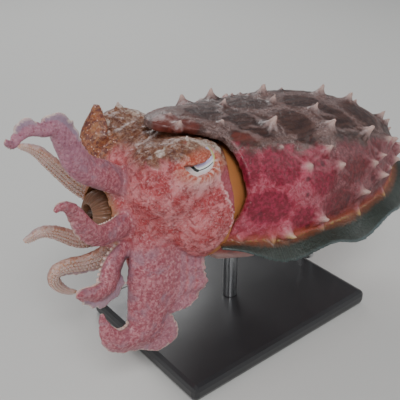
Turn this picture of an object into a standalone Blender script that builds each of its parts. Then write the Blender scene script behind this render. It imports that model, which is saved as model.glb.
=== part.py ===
# Broadclub cuttlefish, a still life-size model hovering on a small display stand.
# The animal's own frame: -X is forward (arms), +X is the tail, -Y is its left side, +Z is its back.
# It is built level in that frame and then pitched and rolled by one empty, which stands it over its base.
# Everything is in metres.

import math
import random

import bmesh
import bpy
from mathutils import Matrix, Vector

MM = 0.001
GAP = 0.3 * MM                      # between solids that meet face to face

# Pose over the stand
BODY_PITCH = math.radians(9)        # tail a little lower than the head
BODY_ROLL = math.radians(3)         # back leaned a little to the left
BODY_PLACE = Vector((-32, 0, 70)) * MM

# Mantle
TAIL_X = 136.5 * MM
MANTLE_RISE = 3 * MM                # of its axis at the rim, above the frame's X axis
MANTLE_SLOPE = 0.085               # and its rise for each unit of length behind it
RIM_X = 7.5 * MM                    # front edge of the mantle at its sides
LOBE_LENGTH = 20.5 * MM             # how far the back's blunt lobe reaches over the head
LOBE_SPREAD = 17.5 * MM
LOBE_SQUARENESS = 10
LOBE_DROOP = 7 * MM                 # of its tip towards the head, from the droop's root forward
DROOP_ROOT_X = -2 * MM
LOBE_SHIFT = 0.3 * MM               # to the right of the middle, as the head leans left
SHOULDER_LENGTH = 12 * MM           # of the wider swelling of the rim beside the lobe
SHOULDER_SPREAD = 24 * MM
CORNER_LENGTH = 12.5 * MM           # of the rim's forward corners, low on each side
CORNER_ANGLE = -20                  # degrees
CORNER_SPREAD = 30
MANTLE_WIDEST_X = 42 * MM
MANTLE_HALF_WIDTH = 43 * MM
MANTLE_BACK_HEIGHT = 37.5 * MM
MANTLE_BELLY_DEPTH = 27 * MM
MANTLE_WALL = 3 * MM
RECESS_DEPTH = 11 * MM
MANTLE_STATIONS = 22
MANTLE_AROUND = 36

# Fins
FIN_LINE = -15                      # degrees below the mantle's widest line
FIN_WIDTH = 12.5 * MM
FIN_ROOT_THICKNESS = 2.6 * MM
FIN_EDGE_THICKNESS = 1.0 * MM
FIN_WAVE = 2.6 * MM
FIN_WAVES = 3.5

# Head
EYE_RADIUS = 8.0 * MM
EYE_PLACE = Vector((-15.2, -20.5, 29.8)) * MM
EYE_AXIS = Vector((-0.15, -0.88, 0.45)).normalized()
HEAD_VOXEL = 1.5 * MM
HEAD_TRIANGLES = 1700                # before the rooms for its neighbours are cut
HEAD_TILT = 0.05                    # rise of the left side for each unit of width
HEAD_REAR_X = -0.5 * MM
HEAD_REAR_LEAN = 0.06               # the rear face runs forward as it rises
REAR_TOP = 30.2 * MM                # and ends this far above the neck's middle
NECK_HALF_WIDTH = 30.4 * MM
NECK_HEIGHT = 28.5 * MM             # above the neck's middle
NECK_DEPTH = 16 * MM                # below it
NECK_MIDDLE_Z = 8 * MM
NECK_SIDES = 28

# Mouth and funnel. Profiles run from the inside out: place along the mouth's axis, radius in mm
CROWN_PLACE = Vector((-38, 0, 5)) * MM
MOUTH_ROOM = Vector((13, 10.8, 10.8)) * MM
LIP_PROFILE = ((5.0, 6.2), (0.0, 8.6), (-4.5, 8.0), (-7.4, 5.4), (-7.6, 3.9), (-2.7, 3.2))
LIP_FOLDS = 10
LIP_FOLD_DEPTH = 0.07
BEAK_PROFILE = ((-3.0, 2.7), (-5.1, 2.6), (-7.1, 1.6), (-8.3, 0.5))
BEAK_DROOP = 0.5 * MM                 # of its point
FUNNEL_WALL = 1.6 * MM
# The funnel's sections from its root in the mantle to its mouth: x, z, half width, half height in mm
FUNNEL_SECTIONS = ((17.9, -11.9, 17.0, 2.8), (8, -12.4, 16.5, 3.3), (-2, -16.8, 12.5, 5.0),
                   (-12, -21.5, 8.6, 6.2), (-20, -24.0, 6.2, 5.6))

# Arms
STUB_END = 0.16                     # share of an arm that belongs to the head
ARM_SPLITS = (0.45, 0.74)
SOCKET_ROOM = 0.7 * MM              # round an arm where it leaves the head
ARM_STATIONS = 16
SUCKER_PAIRS = 8
SUCKER_SIDES = 5
SUCKER_RADIUS = 1.6 * MM
KEEL_LOBES = 5

# Stand
BASE_SIZE = Vector((112, 82, 8)) * MM
ROD_RADIUS = 3.5 * MM
ROD_SOCKET_DEPTH = 8 * MM
ROD_PLACES = (36 * MM, 92 * MM)     # along the animal's frame


# Materials

def make_material(name, colour, roughness, metallic=0.0):
    material = bpy.data.materials.new(name)
    material.use_nodes = True
    shader = material.node_tree.nodes["Principled BSDF"]
    shader.inputs["Base Color"].default_value = (*colour, 1.0)
    shader.inputs["Roughness"].default_value = roughness
    shader.inputs["Metallic"].default_value = metallic
    return material


def make_materials():
    return {
        "mantle": make_material("mantle_skin", (0.42, 0.10, 0.13), 0.45),
        "head": make_material("head_skin", (0.52, 0.20, 0.19), 0.45),
        "arm": make_material("arm_skin", (0.58, 0.30, 0.33), 0.40),
        "neck": make_material("neck_skin", (0.42, 0.17, 0.04), 0.35),
        "fin": make_material("fin_membrane", (0.34, 0.36, 0.30), 0.30),
        "mouth": make_material("mouth_skin", (0.62, 0.42, 0.34), 0.40),
        "beak": make_material("beak_horn", (0.06, 0.03, 0.02), 0.25),
        "eye": make_material("eye_gloss", (0.85, 0.86, 0.84), 0.12),
        "stand": make_material("stand_lacquer", (0.03, 0.03, 0.035), 0.35),
        "rod": make_material("rod_steel", (0.55, 0.56, 0.58), 0.30, 1.0),
    }


# Mesh helpers

def object_from(bm, name, material=None, smooth=True):
    mesh = bpy.data.meshes.new(name)
    bm.to_mesh(mesh)
    bm.free()
    if smooth:
        mesh.shade_smooth()
    obj = bpy.data.objects.new(name, mesh)
    if material:
        mesh.materials.append(material)
    bpy.context.scene.collection.objects.link(obj)
    return obj


def loft(rings, name, material=None):
    """Closed skin over equal rings of points, with a fan of triangles at each end."""
    bm = bmesh.new()
    rows = [[bm.verts.new(point) for point in ring] for ring in rings]
    count = len(rows[0])
    for first, second in zip(rows, rows[1:]):
        for i in range(count):
            j = (i + 1) % count
            bm.faces.new((first[i], first[j], second[j]))
            bm.faces.new((first[i], second[j], second[i]))
    for row, flip in ((rows[0], True), (rows[-1], False)):
        middle = bm.verts.new(sum((v.co for v in row), Vector()) / count)
        for i in range(count):
            j = (i + 1) % count
            corners = (row[j], row[i], middle) if flip else (row[i], row[j], middle)
            bm.faces.new(corners)
    bmesh.ops.recalc_face_normals(bm, faces=bm.faces)
    return object_from(bm, name, material)


def ellipsoid(place, radii, name="form", segments=32, rings=20):
    bm = bmesh.new()
    bmesh.ops.create_uvsphere(bm, u_segments=segments, v_segments=rings, radius=1.0)
    bmesh.ops.scale(bm, vec=radii, verts=bm.verts)
    bmesh.ops.translate(bm, vec=place, verts=bm.verts)
    return object_from(bm, name)


def evaluated_mesh(obj):
    graph = bpy.context.evaluated_depsgraph_get()
    return bpy.data.meshes.new_from_object(obj.evaluated_get(graph))


def apply_modifiers(obj):
    mesh = evaluated_mesh(obj)
    old = obj.data
    obj.modifiers.clear()
    obj.data = mesh
    bpy.data.meshes.remove(old)


def keep_largest(obj):
    """Keeps the closed surface with the most faces, so that no scrap of a Boolean stays,
    and dissolves the points that a Boolean left in the middle of straight edges."""
    bm = bmesh.new()
    bm.from_mesh(obj.data)
    unseen = set(bm.faces)
    shells = []
    while unseen:
        shell = {unseen.pop()}
        edge_of_shell = list(shell)
        while edge_of_shell:
            face = edge_of_shell.pop()
            for edge in face.edges:
                for other in edge.link_faces:
                    if other in unseen:
                        unseen.discard(other)
                        shell.add(other)
                        edge_of_shell.append(other)
        shells.append(shell)
    largest = max(shells, key=len)
    loose = [face for shell in shells if shell is not largest for face in shell]
    bmesh.ops.delete(bm, geom=loose, context="FACES")
    in_line = [vert for vert in bm.verts if len(vert.link_edges) == 2]
    bmesh.ops.dissolve_verts(bm, verts=in_line)
    bmesh.ops.triangulate(bm, faces=bm.faces)
    bm.to_mesh(obj.data)
    bm.free()


def combine(obj, pieces, operation, solver="MANIFOLD"):
    """One Boolean of an object with a collection of closed pieces, which are then removed."""
    group = bpy.data.collections.new(obj.name + "_pieces")
    bpy.context.scene.collection.children.link(group)
    for piece in pieces:
        for owner in list(piece.users_collection):
            owner.objects.unlink(piece)
        group.objects.link(piece)
    modifier = obj.modifiers.new("combine", "BOOLEAN")
    modifier.operand_type = "COLLECTION"
    modifier.collection = group
    modifier.operation = operation
    modifier.solver = solver
    apply_modifiers(obj)
    for piece in pieces:
        bpy.data.objects.remove(piece)
    bpy.data.collections.remove(group)
    keep_largest(obj)


# Mantle

def mantle_sizes(x):
    """Half width, height of the back and depth of the belly at a place along the body."""
    if x < MANTLE_WIDEST_X:
        u = (MANTLE_WIDEST_X - x) / (MANTLE_WIDEST_X - RIM_X)
        return (
            MANTLE_HALF_WIDTH * (1 - 0.17 * u * u),
            MANTLE_BACK_HEIGHT * (1 + 0.05 * u * u),
            MANTLE_BELLY_DEPTH * (1 - 0.11 * u * u),
        )
    u = min(1.0, (x - MANTLE_WIDEST_X) / (TAIL_X - MANTLE_WIDEST_X))
    return (
        MANTLE_HALF_WIDTH * (1 - u ** 2.4) ** 0.62,
        MANTLE_BACK_HEIGHT * (1 - u ** 2.5) ** 0.64,
        MANTLE_BELLY_DEPTH * (1 - u ** 2.2) ** 0.70,
    )


def mantle_axis(x):
    """Height of the mantle's axis, which bends down in the lobe."""
    tip_x = RIM_X - LOBE_LENGTH - SHOULDER_LENGTH
    bend = max(0.0, DROOP_ROOT_X - x) / (DROOP_ROOT_X - tip_x)
    return MANTLE_RISE + MANTLE_SLOPE * max(0.0, x) - LOBE_DROOP * bend ** 2


def mantle_rim_x(y, angle):
    """The front edge: a lobe on the back and a forward corner low on each side."""
    turn = math.degrees(angle)
    turn = 180 - turn if turn > 90 else -180 - turn if turn < -90 else turn
    corner = CORNER_LENGTH * math.exp(-(((turn - CORNER_ANGLE) / CORNER_SPREAD) ** 2))
    if angle < 0:
        return RIM_X - corner
    lobe = LOBE_LENGTH * math.exp(-(abs((y - LOBE_SHIFT) / LOBE_SPREAD) ** LOBE_SQUARENESS))
    shoulder = SHOULDER_LENGTH * math.exp(-((y / SHOULDER_SPREAD) ** 2))
    return RIM_X - max(corner, lobe + shoulder)


def mantle_section(x, angle, inset=0.0):
    """Point of the mantle's surface; angle 0 is the left side and a quarter turn is the back."""
    width, back, belly = mantle_sizes(x)
    height, squareness = (back, 0.80) if angle > 0 else (belly, 0.92)
    c, s = math.cos(angle), math.sin(angle)
    y = -math.copysign(abs(c) ** squareness, c) * (width - inset)
    z = math.copysign(abs(s) ** 0.94, s) * (height - inset)
    return Vector((x, y, z + mantle_axis(x)))


def mantle_angles():
    """Angles around a section, from the belly's middle round the left side and the back."""
    step = 2 * math.pi / MANTLE_AROUND
    return [-math.pi + (i + 0.5) * step for i in range(MANTLE_AROUND)]


def mantle_point(share, angle, grow=0.0):
    """Surface point at a share of the way from the rim to the tail."""
    at_rim = mantle_section(RIM_X, angle)
    front = mantle_rim_x(at_rim.y, angle)
    x = front + (TAIL_X - front) * share
    return mantle_section(x, angle, -grow)


def mantle_shares():
    """Shares of the mantle's length at its rings, closer together at the tail."""
    turns = [i / MANTLE_STATIONS * math.pi / 2 for i in range(MANTLE_STATIONS + 1)]
    return [math.sin(turn) ** 0.9 * 0.9985 for turn in turns]


def mantle_inner_ring(blend, grow):
    """A ring inside the front recess, from its lip at 0 to its floor at 1."""
    ring = []
    for angle in mantle_angles():
        lip_x = mantle_point(0.0, angle).x + 1.2 * MM
        floor_x = RIM_X + RECESS_DEPTH - grow
        x = lip_x + (floor_x - lip_x) * blend
        inner = mantle_section(max(x, lip_x), angle, MANTLE_WALL + grow)
        ring.append(Vector((x, inner.y, inner.z)))
    return ring


def mantle_shell(name, grow=0.0, material=None):
    """The mantle with its front recess. A positive grow makes a cutter that keeps a gap to it."""
    rings = [mantle_inner_ring(blend, grow) for blend in (1.0, 0.5, 0.0)]
    ring = []
    for angle in mantle_angles():
        rim = mantle_point(0.0, angle)
        lip = mantle_section(rim.x, angle, MANTLE_WALL * 0.45)
        ring.append(Vector((rim.x - 0.6 * MM - grow, lip.y, lip.z)))
    rings.append(ring)
    for share in mantle_shares():
        rings.append([mantle_point(share, angle, grow) for angle in mantle_angles()])
    return loft(rings, name, material)


def outward(point_at, share, angle):
    """Normal of the mantle's surface, from points either side."""
    step = 0.004
    along = point_at(share + step, angle) - point_at(share - step, angle)
    around = point_at(share, angle + step) - point_at(share, angle - step)
    normal = around.cross(along).normalized()
    here = point_at(share, angle)
    out = here - Vector((here.x, 0, mantle_axis(here.x)))
    return normal if normal.dot(out) > 0 else -normal


def papilla(root, normal, lean, height, radius, sides=4):
    """A tapered skin horn that bends towards its lean, its root sunk in the skin."""
    side = normal.orthogonal().normalized()
    other = normal.cross(side)
    rings = []
    for rise, share in ((-0.4, 1.2), (0.3, 0.6), (1.0, 0.2)):
        middle = root + normal * (height * rise) + lean * (height * 0.35 * max(0, rise) ** 2)
        rings.append([
            middle + (side * math.cos(turn) + other * math.sin(turn)) * radius * share
            for turn in (2 * math.pi * i / sides for i in range(sides))
        ])
    return loft(rings, "papilla")


# Rows of papillae: angle round the mantle in degrees at the first and the last, shares along it,
# height and root radius in mm, and whether the row comes again on the right side
PAPILLA_ROWS = (
    (69, 37, (0.272, 0.412, 0.568, 0.744), 5.2, 3.3, False),
    (122, 78, (0.082, 0.256, 0.463, 0.652, 0.745, 0.908), 5.2, 3.2, False),
    (138, 130, (0.34, 0.528, 0.705, 0.863), 4.6, 3.2, False),
    (36, 18, (0.228, 0.366, 0.558, 0.764), 3.2, 3.2, True),
    (-3, 24, (0.184, 0.300, 0.484, 0.604, 0.843), 6, 3.4, True),
)


def papilla_places():
    """Angle, share along the mantle, height and root radius of each papilla."""
    draw = random.Random(7)
    places = []
    for first, last, shares, height, radius, twice in PAPILLA_ROWS:
        for share in shares:
            degrees = first + (last - first) * (share - shares[0]) / (shares[-1] - shares[0])
            size = draw.uniform(0.85, 1.15)
            places.append((degrees, share, height * size, radius))
            if twice:
                places.append((180 - degrees, share + draw.uniform(-0.02, 0.02), height / size, radius))
    return places


def make_papillae():
    pieces = []
    lean = Vector((0.8, 0, 0.3))
    for degrees, share, height, radius in papilla_places():
        angle = math.radians(degrees if degrees <= 180 else degrees - 360)
        normal = outward(mantle_point, share, angle)
        pieces.append(papilla(mantle_point(share, angle), normal, lean, height * MM, radius * MM))
    return pieces


def make_mantle(materials, sockets):
    mantle = mantle_shell("mantle", 0.0, materials["mantle"])
    combine(mantle, make_papillae(), "UNION")
    combine(mantle, sockets, "DIFFERENCE")
    return mantle


# Fins

def fin_root(place, rise):
    """Point of the mantle's own facets, a gap clear of it, at a fractional ring number.
    Rise runs from one line of the mantle's corners to the next above it."""
    shares = mantle_shares()
    ring = min(int(place), MANTLE_STATIONS - 1)
    low_angle = math.radians(FIN_LINE)
    high_angle = low_angle + 2 * math.pi / MANTLE_AROUND
    first, second = shares[ring], shares[ring + 1]
    low = mantle_point(first, low_angle).lerp(mantle_point(second, low_angle), place - ring)
    high = mantle_point(first, high_angle).lerp(mantle_point(second, high_angle), place - ring)
    along = mantle_point(second, low_angle) - mantle_point(first, low_angle)
    normal = (high - low).cross(along).normalized()
    if normal.y > 0:
        normal = -normal
    return low.lerp(high, rise) + normal * (GAP + 0.15 * MM), normal


def make_fin(side, name, material):
    """A wavy membrane along the mantle's side, split into the same triangles on both faces."""
    places = [0.5, *range(1, MANTLE_STATIONS - 1), MANTLE_STATIONS - 1.4]
    lift = Vector((0, 0, 1))
    top, bottom = [], []
    for place in places:
        along = mantle_shares()[int(place)]
        root, normal = fin_root(place, 0.5)
        strip = (fin_root(place, 1.0)[0] - fin_root(place, 0.0)[0]).length
        half_rise = min(0.45, 0.5 * FIN_ROOT_THICKNESS / strip)
        out = Vector((normal.x * 1.2, normal.y, normal.z * 0.4 - 0.12)).normalized()
        reach = FIN_WIDTH * (0.2 + 0.8 * math.sin(math.pi * min(1.0, 0.03 + along * 0.88)) ** 0.6)
        row_top = [fin_root(place, 0.5 + half_rise)[0]]
        row_bottom = [fin_root(place, 0.5 - half_rise)[0]]
        for k in (0.34, 0.7, 1.0):
            wave = FIN_WAVE * k ** 1.6 * math.sin(2 * math.pi * FIN_WAVES * along + 0.6)
            half = (FIN_ROOT_THICKNESS * (1 - k) + FIN_EDGE_THICKNESS * k) / 2
            point = root + out * (reach * k) + lift * (wave - 1.5 * MM * k * k)
            row_top.append(point + lift * half)
            row_bottom.append(point - lift * half)
        top.append(row_top)
        bottom.append(row_bottom)
    bm = bmesh.new()
    mirror = Vector((1, side, 1))
    top = [[bm.verts.new(p * mirror) for p in row] for row in top]
    bottom = [[bm.verts.new(p * mirror) for p in row] for row in bottom]
    last = len(places) - 1
    for rows in (top, bottom):
        for first, second in zip(rows, rows[1:]):
            for k in range(3):
                bm.faces.new((first[k], first[k + 1], second[k + 1]))
                bm.faces.new((first[k], second[k + 1], second[k]))
    for k in (0, 3):
        for i in range(last):
            bm.faces.new((top[i][k], top[i + 1][k], bottom[i + 1][k]))
            bm.faces.new((top[i][k], bottom[i + 1][k], bottom[i][k]))
    for i in (0, last):
        for k in range(3):
            bm.faces.new((top[i][k], top[i][k + 1], bottom[i][k + 1]))
            bm.faces.new((top[i][k], bottom[i][k + 1], bottom[i][k]))
    bmesh.ops.recalc_face_normals(bm, faces=bm.faces)
    return object_from(bm, name, material)


# Arms. Each route runs from inside the head to the tip in the animal's frame, in mm:
# place, half width of the fleshy core and width of the thin keel. Faces are the way the outer
# side looks at the root and at the tip.

ARMS = {
    "arm_left_1": {
        "route": ((-22, -6, 15, 5.6, 0), (-36, -8, 20.5, 5.5, 0), (-48.5, -11, 26.5, 5.3, 0.3),
                  (-57, -13, 30.8, 4.9, 0.5), (-61.8, -14, 35.1, 4.5, 0.8), (-65.2, -14.5, 40.3, 4.0, 1.0),
                  (-68.6, -15.5, 45.1, 3.3, 2.2), (-72.2, -16.5, 48.4, 2.4, 3.0), (-76.6, -18, 48.7, 1.9, 0.3),
                  (-81.9, -19.5, 49.4, 1.4, 2.4), (-85.7, -21, 48.1, 1.2, 0.9), (-88.3, -22.5, 46.8, 1.0, 0.5),
                  (-91.9, -24.5, 49, 0.6, 0.2)),
        "faces": ((-0.3, -0.7, 0.65), (-0.4, -0.85, 0.3)), "keel_side": 1,
    },
    "arm_left_2": {
        "route": ((-24, -8, 6.5, 4.6, 0), (-35, -13, 6.6, 4.4, 0), (-46, -17, 6, 4.0, 0.2),
                  (-54, -20, 8, 3.6, 0.6), (-60, -21.5, 13.5, 3.2, 0.9), (-64, -22.5, 19, 2.5, 0.9),
                  (-67.5, -23.5, 23, 1.8, 0.5), (-72, -25, 25, 1.2, 0.2), (-75, -26, 24, 0.7, 0)),
        "faces": ((-0.2, -0.95, 0.2), (-0.2, -0.95, 0.2)), "keel_side": -1,
    },
    "arm_left_3": {
        "route": ((-22, -7, -4, 4.4, 0), (-33, -11.5, -6, 4.2, 0.2), (-41.5, -15.5, -8.8, 4.4, 2.2),
                  (-45.5, -18.5, -12.8, 4.3, 4.2), (-48.6, -21, -15.8, 3.8, 4.4), (-53.8, -22.5, -15.6, 2.9, 2.6),
                  (-58.5, -23.5, -13.8, 2.0, 1.2), (-62.6, -24.5, -12.6, 0.9, 0.2)),
        "faces": ((0.0, -0.95, -0.1), (0.0, -0.95, 0.0)), "keel_side": -1,
    },
    "arm_left_4": {
        "route": ((-23, -12, 13, 7.2, 3), (-25, -16, 5, 8.0, 8), (-27, -19, -4, 8.8, 11.5),
                  (-28.5, -22, -14.5, 9.2, 15.0), (-29, -23.7, -23.5, 8.8, 13.0),
                  (-29.2, -24.2, -27.8, 8.4, 12.0), (-29.7, -24.6, -31.3, 8.0, 3.0),
                  (-31, -25, -37, 7.2, 8.5), (-36, -25, -40.3, 5.4, 1.8), (-42, -24.5, -40, 4.4, 1.2),
                  (-46.3, -24, -35.5, 3.0, 0.5), (-48.5, -23, -30.5, 1.6, 0.2),
                  (-49.5, -22.5, -26.5, 0.7, 0)),
        "faces": ((-0.25, -0.95, 0.0), (-0.25, -0.95, 0.0)), "keel_side": -1,
    },
    "arm_right_1": {
        "route": ((-20, 6, 12, 5.8, 0), (-28.5, 8.5, 17.5, 6.2, 0), (-34.5, 11.5, 23, 6.6, 0.4),
                  (-37.2, 14, 28.5, 6.2, 0.6), (-36.3, 16, 33, 5.6, 0.6), (-34.8, 18, 36.4, 4.2, 0.4),
                  (-33.8, 19.5, 39.2, 2.6, 0.2), (-33.6, 20.5, 42, 0.9, 0)),
        "faces": ((-0.6, -0.5, 0.6), (-0.5, 0.2, 0.8)), "keel_side": 1,
    },
    "arm_right_2": {
        "route": ((-22, 8, 5, 5.0, 0), (-30, 12, 5, 4.6, 0), (-36.5, 14, 6.5, 4.0, 0.2),
                  (-43, 15.5, 10.2, 3.3, 0.4), (-49, 17, 15.7, 3.0, 0.4), (-54.5, 18, 21, 2.7, 0.3),
                  (-58.7, 19, 25, 2.2, 0.2), (-62.5, 20, 27, 1.5, 0), (-66, 21, 27.5, 0.8, 0)),
        "faces": ((0.2, 0.95, 0.1), (0.1, 0.9, 0.3)), "keel_side": -1,
    },
    "arm_right_3": {
        "route": ((-20, 10, -5, 4.8, 0), (-26, 14.5, -12, 4.6, 0), (-32, 16.5, -17, 4.0, 0.2),
                  (-38.5, 17.5, -17.5, 3.3, 0.4), (-45, 18.3, -14.3, 2.9, 0.4), (-50.5, 19, -11.8, 2.5, 0.3),
                  (-55, 20, -11.7, 2.1, 0.2), (-58.5, 20.5, -13.5, 1.6, 0), (-61.3, 21, -15, 0.9, 0)),
        "faces": ((0.1, 0.95, -0.2), (0.1, 0.95, -0.2)), "keel_side": -1,
    },
    "arm_right_4": {
        "route": ((-17, 4, -9, 5.0, 0), (-24, 6, -16, 4.8, 0.4), (-31, 8.5, -22, 4.2, 0.9),
                  (-38.4, 10.5, -24.6, 3.5, 1.2), (-45, 11.5, -24.8, 3.2, 1.2),
                  (-50.3, 12.5, -26.5, 2.8, 1.0), (-51.5, 13, -31, 2.4, 0.7), (-49, 13.5, -35.5, 2.0, 0.5),
                  (-44.8, 13.5, -38.8, 1.5, 0.2), (-39.5, 13, -41, 0.8, 0)),
        "faces": ((0.2, 0.95, -0.2), (0.1, 0.97, 0.0)), "keel_side": 1,
    },
}


def smooth_line(points, steps=24):
    """A Catmull-Rom curve through the points, whose sizes run smoothly along it too."""
    ends = [points[0] * 2 - points[1], *points, points[-1] * 2 - points[-2]]
    line = []
    for a, b, c, d in zip(ends, ends[1:], ends[2:], ends[3:]):
        for i in range(steps):
            t = i / steps
            line.append(0.5 * (2 * b + (c - a) * t + (2 * a - 5 * b + 4 * c - d) * t * t
                               + (3 * b - a - 3 * c + d) * t ** 3))
    return [*line, points[-1]]


def arm_line(arm):
    """Centreline points with each one's share of the arm's length."""
    line = smooth_line([Vector(p) * MM for p in arm["route"]])
    lengths = [0.0]
    for a, b in zip(line, line[1:]):
        lengths.append(lengths[-1] + (b.xyz - a.xyz).length)
    return line, [length / lengths[-1] for length in lengths], lengths[-1]


def on_line(line, shares, share):
    """Point, direction and sizes at a share of a line."""
    i = next((k for k in range(1, len(shares)) if shares[k] >= share), len(shares) - 1)
    span = shares[i] - shares[i - 1]
    t = (share - shares[i - 1]) / span if span > 0 else 0.0
    low, high = max(0, i - 5), min(len(line) - 1, i + 4)
    here = line[i - 1].lerp(line[i], t)
    return here.xyz, (line[high].xyz - line[low].xyz).normalized(), here


def arm_frame(arm, line, shares, share):
    """Centre, direction, outer face, side and sizes of an arm at a share of its length."""
    middle, along, here = on_line(line, shares, share)
    face = Vector(arm["faces"][0]).lerp(Vector(arm["faces"][1]), share)
    face = (face - along * face.dot(along)).normalized()
    side = along.cross(face).normalized()
    core = max(0.55 * MM, here[3])
    thick = min(0.95 * core, 0.45 * core + 0.9 * MM)
    keel = (max(0.0, here[4]) + 0.35 * MM) * (1 + 0.08 * math.sin(2 * math.pi * KEEL_LOBES * share))
    return middle, along, face, side, core, thick, keel


def arm_ring(arm, line, shares, share, grow=0.0, inner=0.0):
    """A section: a flat oval core whose one side runs out into the keel.
    For cutters it can be grown all round, and further on its inner face."""
    middle, _, face, side, core, thick, keel = arm_frame(arm, line, shares, share)
    core, thick, keel = core + grow, thick + grow, keel + grow
    half_keel = max(0.5 * MM, 0.24 * thick) + grow
    half_edge = 0.4 * MM + grow
    outline = (
        (-core, 0), (-0.78 * core, 0.62 * thick), (-0.1 * core, thick), (0.62 * core, 0.74 * thick),
        (core + 0.3 * keel, half_keel), (core + keel, half_edge), (core + keel, -half_edge),
        (core + 0.3 * keel, -half_keel), (0.62 * core, -0.74 * thick), (-0.1 * core, -thick),
        (-0.78 * core, -0.62 * thick),
    )
    return [
        middle + side * (arm["keel_side"] * across) + face * (out - inner if out < 0 else out)
        for across, out in outline
    ]


def arm_length_piece(name, arm, start, end, material=None, grow=0.0, inner=0.0):
    line, shares, _ = arm_line(arm)
    count = max(3, round(ARM_STATIONS * (end - start)) + 1)
    steps = [start + (end - start) * i / count for i in range(count + 1)]
    return loft([arm_ring(arm, line, shares, s, grow, inner) for s in steps], name, material)


def sucker(place, normal, radius):
    """A short cup with few sides, its root sunk in the arm."""
    side = normal.orthogonal().normalized()
    other = normal.cross(side)
    rings = []
    for rise, share in ((-0.9, 0.6), (0.8, 1.0)):
        middle = place + normal * (radius * rise)
        rings.append([
            middle + (side * math.cos(turn) + other * math.sin(turn)) * (radius * share)
            for turn in (2 * math.pi * i / SUCKER_SIDES for i in range(SUCKER_SIDES))
        ])
    return loft(rings, "sucker")


def arm_suckers(arm, start, end):
    """Two rows along the inner face, smaller towards the tip and clear of the piece's ends."""
    line, shares, length = arm_line(arm)
    pieces = []
    for pair in range(SUCKER_PAIRS):
        for row in (-1, 1):
            share = 0.34 + 0.62 * ((pair + 0.25 * (row + 1)) / SUCKER_PAIRS) ** 0.92
            middle, _, face, side, core, thick, _ = arm_frame(arm, line, shares, share)
            radius = min(max(0.55 * MM, 0.30 * core), SUCKER_RADIUS)
            margin = (radius + 0.3 * MM) / length
            if not start + margin < share < end - margin:
                continue
            across = (row * 0.40 - 0.08) * core * arm["keel_side"]
            pieces.append(sucker(middle + side * across - face * (thick * 0.84), -face, radius))
    return pieces


def make_arm(name, arm, material):
    _, _, length = arm_line(arm)
    gap_share = GAP / length
    bounds = (STUB_END, *ARM_SPLITS, 1.0)
    for part, start, end in zip(("base", "middle", "tip"), bounds, bounds[1:]):
        piece = arm_length_piece(f"{name}_{part}", arm, start + gap_share / 2, end - gap_share / 2, material)
        cups = arm_suckers(arm, start, end)
        if cups:
            combine(piece, cups, "UNION")


def make_arms(materials):
    for name, arm in ARMS.items():
        make_arm(name, arm, materials["arm"])


# Head

# Rounded forms that make the head: place and radii in mm; those off the middle are mirrored
HEAD_FORMS = (
    ((-13, 0, 9), (28, 27, 25)),
    ((-17, 18, 27.5), (16, 13.5, 11.5)),
    ((-19, 13, 20), (20, 17, 17)),
    ((-6, 0, 15), (19, 28, 23)),
    ((-7, 16, 22), (14, 13, 15)),
    ((-20.5, 21, 32.5), (10.5, 9, 6.5)),
    ((-4, 17, 8), (19, 18, 22)),
    ((-27, 0, 5), (18, 19, 19)),
    ((-14, 0, -5), (22, 21, 12)),
)


def head_forms():
    forms = []
    for place, radii in HEAD_FORMS:
        for side in ((1,) if place[1] == 0 else (1, -1)):
            y = place[1] * side
            forms.append(ellipsoid(Vector((place[0], y, place[2] - HEAD_TILT * y)) * MM, Vector(radii) * MM))
    for name, arm in ARMS.items():
        forms.append(arm_length_piece("stub", arm, 0.0, STUB_END + 0.03))
    return forms


def brow_papillae():
    pieces = []
    for side in (1, -1):
        for x, y, z, height in ((-21, 22, 38.0, 5.0), (-30, 19, 31.5, 3.0)):
            root = Vector((x, y * side, z - HEAD_TILT * y * side)) * MM
            normal = Vector((-0.1, 0.35 * side, 1)).normalized()
            pieces.append(papilla(root, normal, Vector((0, 0, 0)), height * MM, 3.0 * MM, 6))
    return pieces


def arm_clearance(arm):
    """Room in the head for an arm's base and middle, with the gap all round them."""
    _, _, length = arm_line(arm)
    start = STUB_END - GAP / length
    return arm_length_piece("arm_clearance", arm, start, ARM_SPLITS[1], grow=SOCKET_ROOM, inner=SUCKER_RADIUS)


def neck_ring(x, shrink=0.0):
    ring = []
    for i in range(NECK_SIDES):
        turn = 2 * math.pi * i / NECK_SIDES
        s = math.sin(turn)
        rise = s * ((NECK_HEIGHT if s > 0 else NECK_DEPTH) - shrink)
        y = math.cos(turn) * (NECK_HALF_WIDTH - shrink)
        ring.append(Vector((x - HEAD_REAR_LEAN * rise, y, NECK_MIDDLE_Z + rise)))
    return ring


def make_neck(material):
    front = HEAD_REAR_X + GAP
    back = RIM_X + RECESS_DEPTH - GAP
    rings = []
    for behind, shrink in ((0, 1.2), (3, 0.2), (7, 0.6)):
        rings.append(neck_ring(front + behind * MM, shrink * MM))
    flat = []
    for point in neck_ring(back, 3.0 * MM):
        flat.append(Vector((back, point.y, point.z)))
    rings.append(flat)
    return loft(rings, "neck", material)


def eye_place(side):
    y = EYE_PLACE.y * side
    return Vector((EYE_PLACE.x, y, EYE_PLACE.z - HEAD_TILT * y))


def eye_axes(side):
    """Outward, rearward and upward axes of an eye; side 1 is the left."""
    axis = Vector((EYE_AXIS.x, EYE_AXIS.y * side, EYE_AXIS.z))
    back = Vector((1, 0, 0.12))
    back = (back - axis * back.dot(axis)).normalized()
    up = axis.cross(back) if side > 0 else back.cross(axis)
    return axis, back, up.normalized()


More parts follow.
